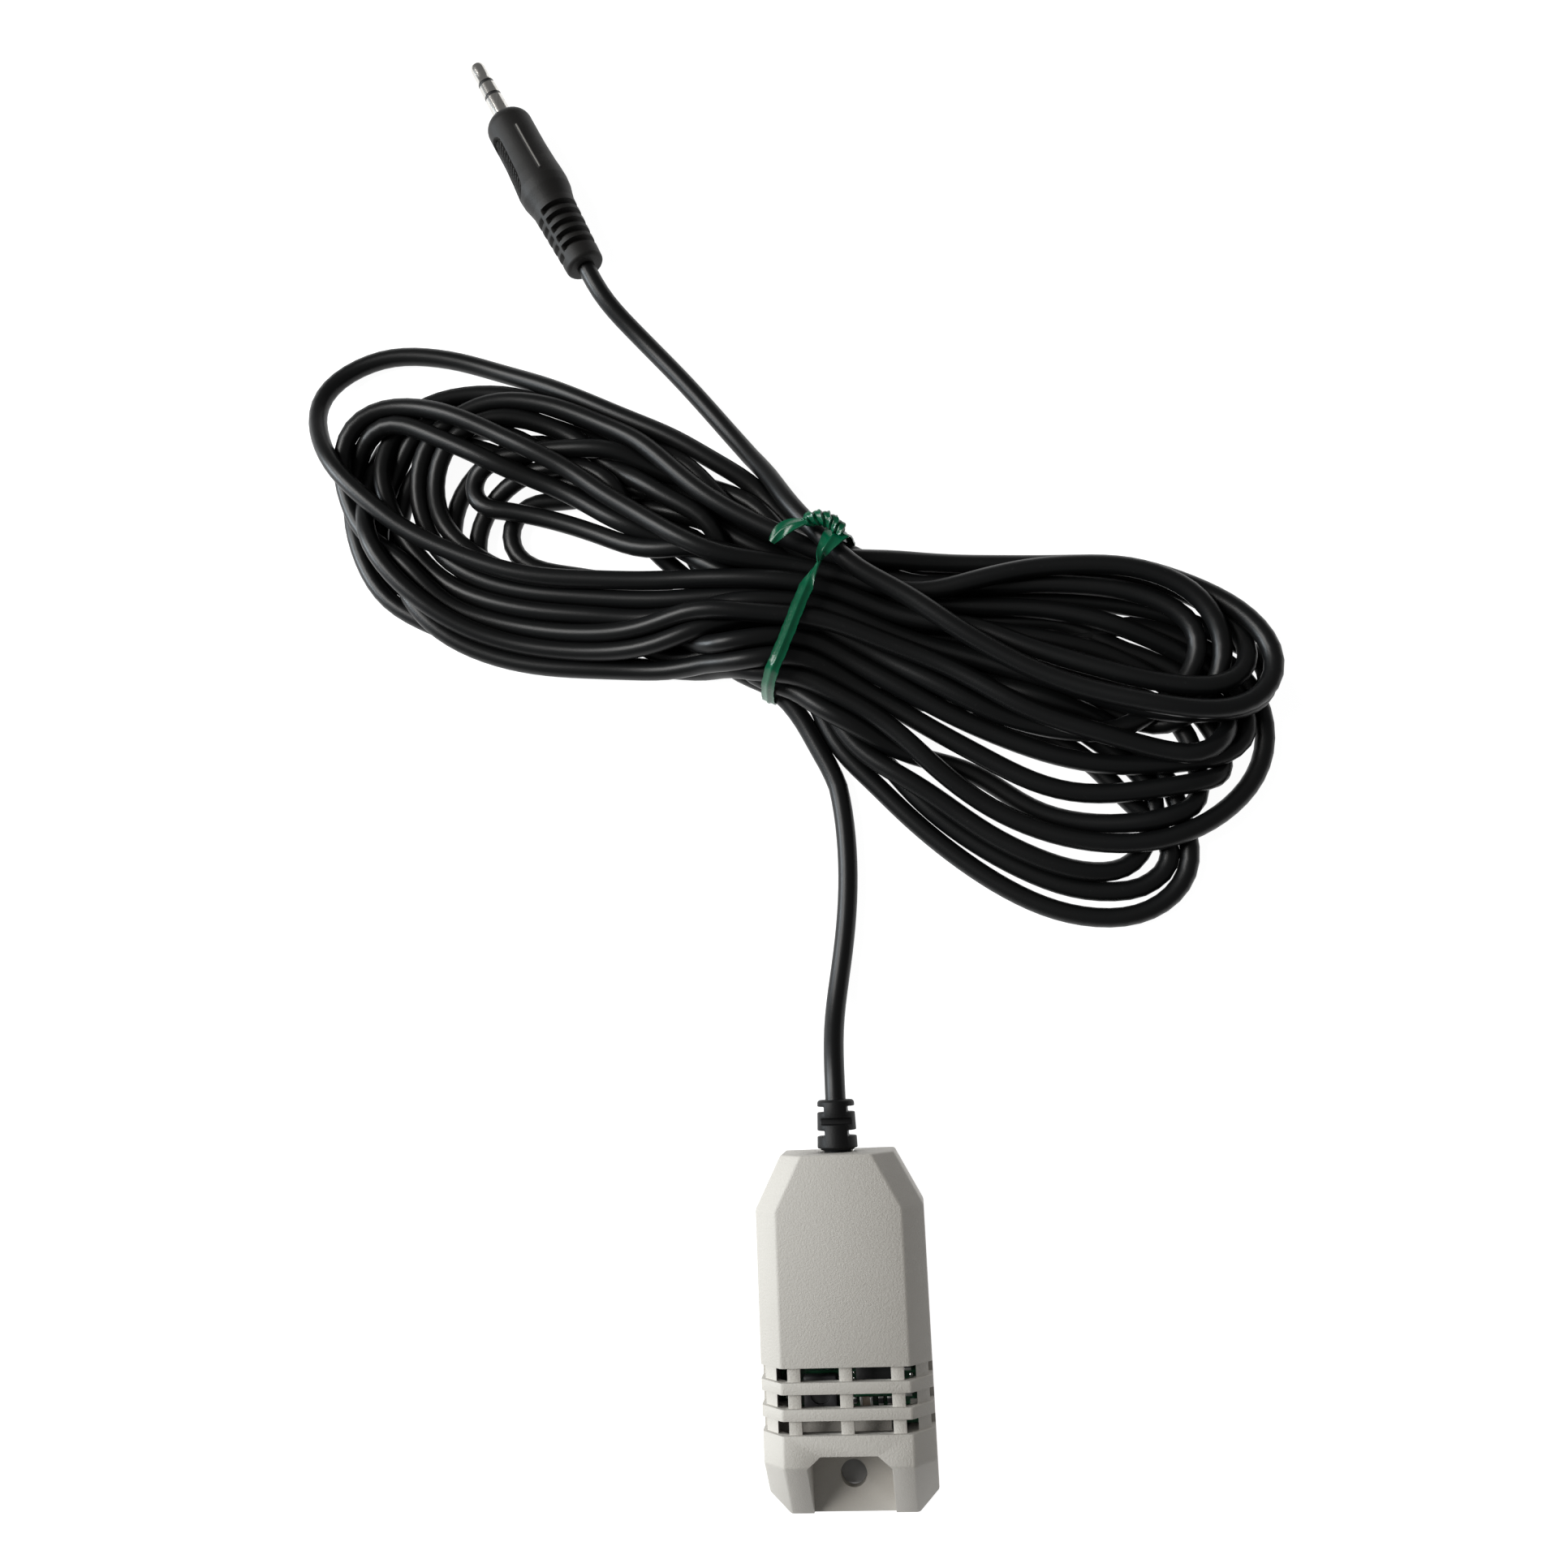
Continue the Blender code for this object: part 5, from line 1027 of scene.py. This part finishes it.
# The humidity sensor is a square moulded cell. A round window in its face lets the air reach a
# thin film, which shows as a pale disc.
WINDOW_EDGE = (0.00152, 0.00156)
cell = Finish("humidity_cell_grey", Specular_IOR_Level=0.45)
low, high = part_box("humidity_sensor")
middle = (low + high) / 2
offset = cell.add("ShaderNodeVectorMath", {"operation": "SUBTRACT"}, {0: cell.place, 1: middle})
across, along, up = (cell.along(axis, offset) for axis in "XYZ")
squared = across * across + along * along
window = 1 - squared.math("SQRT", squared).between(*WINDOW_EDGE)
film = window * up.between(0.0002, 0.0004)
cloud = cell.noise(900, 4)
clean = cell.mixed(cloud, (0.035, 0.035, 0.038), (0.055, 0.055, 0.06))
cell.give(
    Base_Color=cell.mixed(film, clean, (0.075, 0.076, 0.078)),
    Roughness=0.42 + 0.14 * cloud - 0.2 * film,
    Normal=cell.rough(cloud, 0.00002, 0.5),
)
put_on(rounded("humidity_sensor", "humidity_cell", 0.08), cell, "humidity_sensor")


# The temperature sensor is a small bead thermistor. It is dipped in an amber coating and stands on
# two tinned wires just behind the last slot.
COATING_START = (0.00745, 0.0076)
amber = Finish("bead_amber_coating", Specular_IOR_Level=0.6)
coated = amber.along("Z").between(*COATING_START)
cloud = amber.noise(1700, 4)
coating = amber.mixed(cloud, (0.22, 0.06, 0.015), (0.4, 0.15, 0.05))
amber.give(
    Base_Color=amber.mixed(coated, (0.6, 0.6, 0.59), coating),
    Metallic=1 - coated,
    Roughness=0.16 + 0.16 * cloud,
    Normal=amber.rough(cloud, 0.00002, 0.4),
)
put_on(rounded("temperature_sensor", "thermistor", 0, 50), amber, "temperature_sensor")


# Three insulated wires lead from the relief's flange to the board. They are the cord's own cores,
# in red, yellow and black, and each ends on a solder pad.
for name, slot, dark, light in (
    ("wire_supply", "wire_red", (0.28, 0.008, 0.008), (0.42, 0.016, 0.014)),
    ("wire_data", "wire_yellow", (0.50, 0.36, 0.02), (0.62, 0.47, 0.04)),
    ("wire_ground", "wire_black", (0.010, 0.010, 0.010), (0.02, 0.02, 0.02)),
):
    sleeve = Finish(f"{name}_sleeve", Specular_IOR_Level=0.5)
    cloud = sleeve.noise(500, 4)
    sleeve.give(
        Base_Color=sleeve.mixed(cloud, dark, light),
        Roughness=0.34 + 0.16 * cloud,
        Normal=sleeve.rough(sleeve.noise(4200, 2), 0.00001, 0.5),
    )
    put_on(rounded(name, f"{name}_core", 0, 60), sleeve, name)


# Bright solder stands in small domes on the board: on the three wires' pads and on a row of plated
# holes, which show through the first slot.
SOLDER_SPOTS = [
    (-6.4, -4.6, 0.42), (-5.5, -4.6, 0.42), (-1.3, 18.2, 0.62), (0.0, 18.2, 0.62), (1.3, 18.2, 0.62),
    (0.55, -5.6, 0.28), (0.95, -6.1, 0.24), (0.5, -6.7, 0.26), (0.95, -7.0, 0.22), (9.9, -6.6, 0.35),
    (9.9, -10.4, 0.35),
]
BOARD_TOP, SOLDER_FLATNESS = 6.22, 0.62
DOME_ROWS, DOME_COLUMNS = 12, 20
solder = Finish("solder_bright_tin", Metallic=1.0)
cloud = solder.noise(2400, 4)
solder.give(
    Base_Color=solder.mixed(cloud, (0.55, 0.55, 0.54), (0.72, 0.72, 0.71)),
    Roughness=0.16 + 0.18 * cloud,
    Normal=solder.rough(cloud, 0.00002, 0.5),
)
bm = bmesh.new()
for x, y, radius in SOLDER_SPOTS:
    rings = []
    for row in range(DOME_ROWS + 1):
        tilt = math.pi * row / DOME_ROWS
        wide, up = radius * math.sin(tilt), radius * SOLDER_FLATNESS * math.cos(tilt)
        ring = []
        for column in range(DOME_COLUMNS if 0 < row < DOME_ROWS else 1):
            angle = math.tau * column / DOME_COLUMNS
            spot = Vector((x + wide * math.cos(angle), y + wide * math.sin(angle), BOARD_TOP + up))
            ring.append(bm.verts.new(spot * MM))
        rings.append(ring)
    skin(bm, rings, DOME_COLUMNS)
bmesh.ops.recalc_face_normals(bm, faces=bm.faces)
put_on(made(bm, "solder_domes", 180), solder)


# The floor is one plain sheet of white board, far wider than the view. It glows faintly as a lit studio
# table does, apart from a painted shade under the housing: there the glow is left out, so that the floor
# seen through the screw hole stays dark.
FLOOR_WIDTH = 6.0
SHADED_HALF_WIDTH, SHADED_HALF_LENGTH, SHADED_MIDDLE = 0.0115, 0.0215, -0.004
bpy.ops.object.select_all(action="DESELECT")
bpy.ops.mesh.primitive_plane_add(size=FLOOR_WIDTH, location=(0, 0, 0))
floor = bpy.context.active_object
floor.name = "floor"
board = Finish("floor_white_board", Roughness=0.9, Base_Color=(0.3, 0.3, 0.3, 1), Emission_Strength=0.95)
# Painted shade: the glow stops in a rectangle under the housing, fading out just inside its edge.
across, along = board.along("X"), board.along("Y") - SHADED_MIDDLE
outside = []
for off, half in ((across, SHADED_HALF_WIDTH), (along, SHADED_HALF_LENGTH)):
    outside.append((off * off).between((half * 0.92) ** 2, half ** 2))
glow_outside_painted_shade = 1 - (1 - outside[0]) * (1 - outside[1])
board.give(Emission_Color=board.mixed(glow_outside_painted_shade, (0.0, 0.0, 0.0), (1.0, 1.0, 1.0)))
floor.data.materials.append(board.material)


# Two soft lamps stand on the left, one above the other and a little towards the cable end. An even
# sky of low strength fills the shaded sides.
WORK_MIDDLE = (0, 0.05, 0)


def soft_lamp(name, place, size, power, color):
    """A square studio lamp that faces the middle of the work."""
    light = bpy.data.lights.new(name, "AREA")
    light.size = size
    light.energy = power
    light.color = color
    lamp = bpy.data.objects.new(name, light)
    facing = (Vector(place) - Vector(WORK_MIDDLE)).to_track_quat("Z", "Y").to_matrix().to_4x4()
    lamp.matrix_world = Matrix.Translation(place) @ facing
    bpy.context.collection.objects.link(lamp)


soft_lamp("high_lamp", (-0.95, 0.3, 1.0), 0.6, 17, (1.0, 0.99, 0.97))
soft_lamp("low_lamp", (-1.25, 0.2, 0.36), 0.4, 14, (0.86, 0.94, 1.0))
world = bpy.data.worlds.new("studio")
world.use_nodes = True
world.node_tree.nodes["Background"].inputs["Color"].default_value = (1, 1, 1, 1)
world.node_tree.nodes["Background"].inputs["Strength"].default_value = 0.18
bpy.context.scene.world = world
bpy.context.scene.view_settings.view_transform = "Standard"
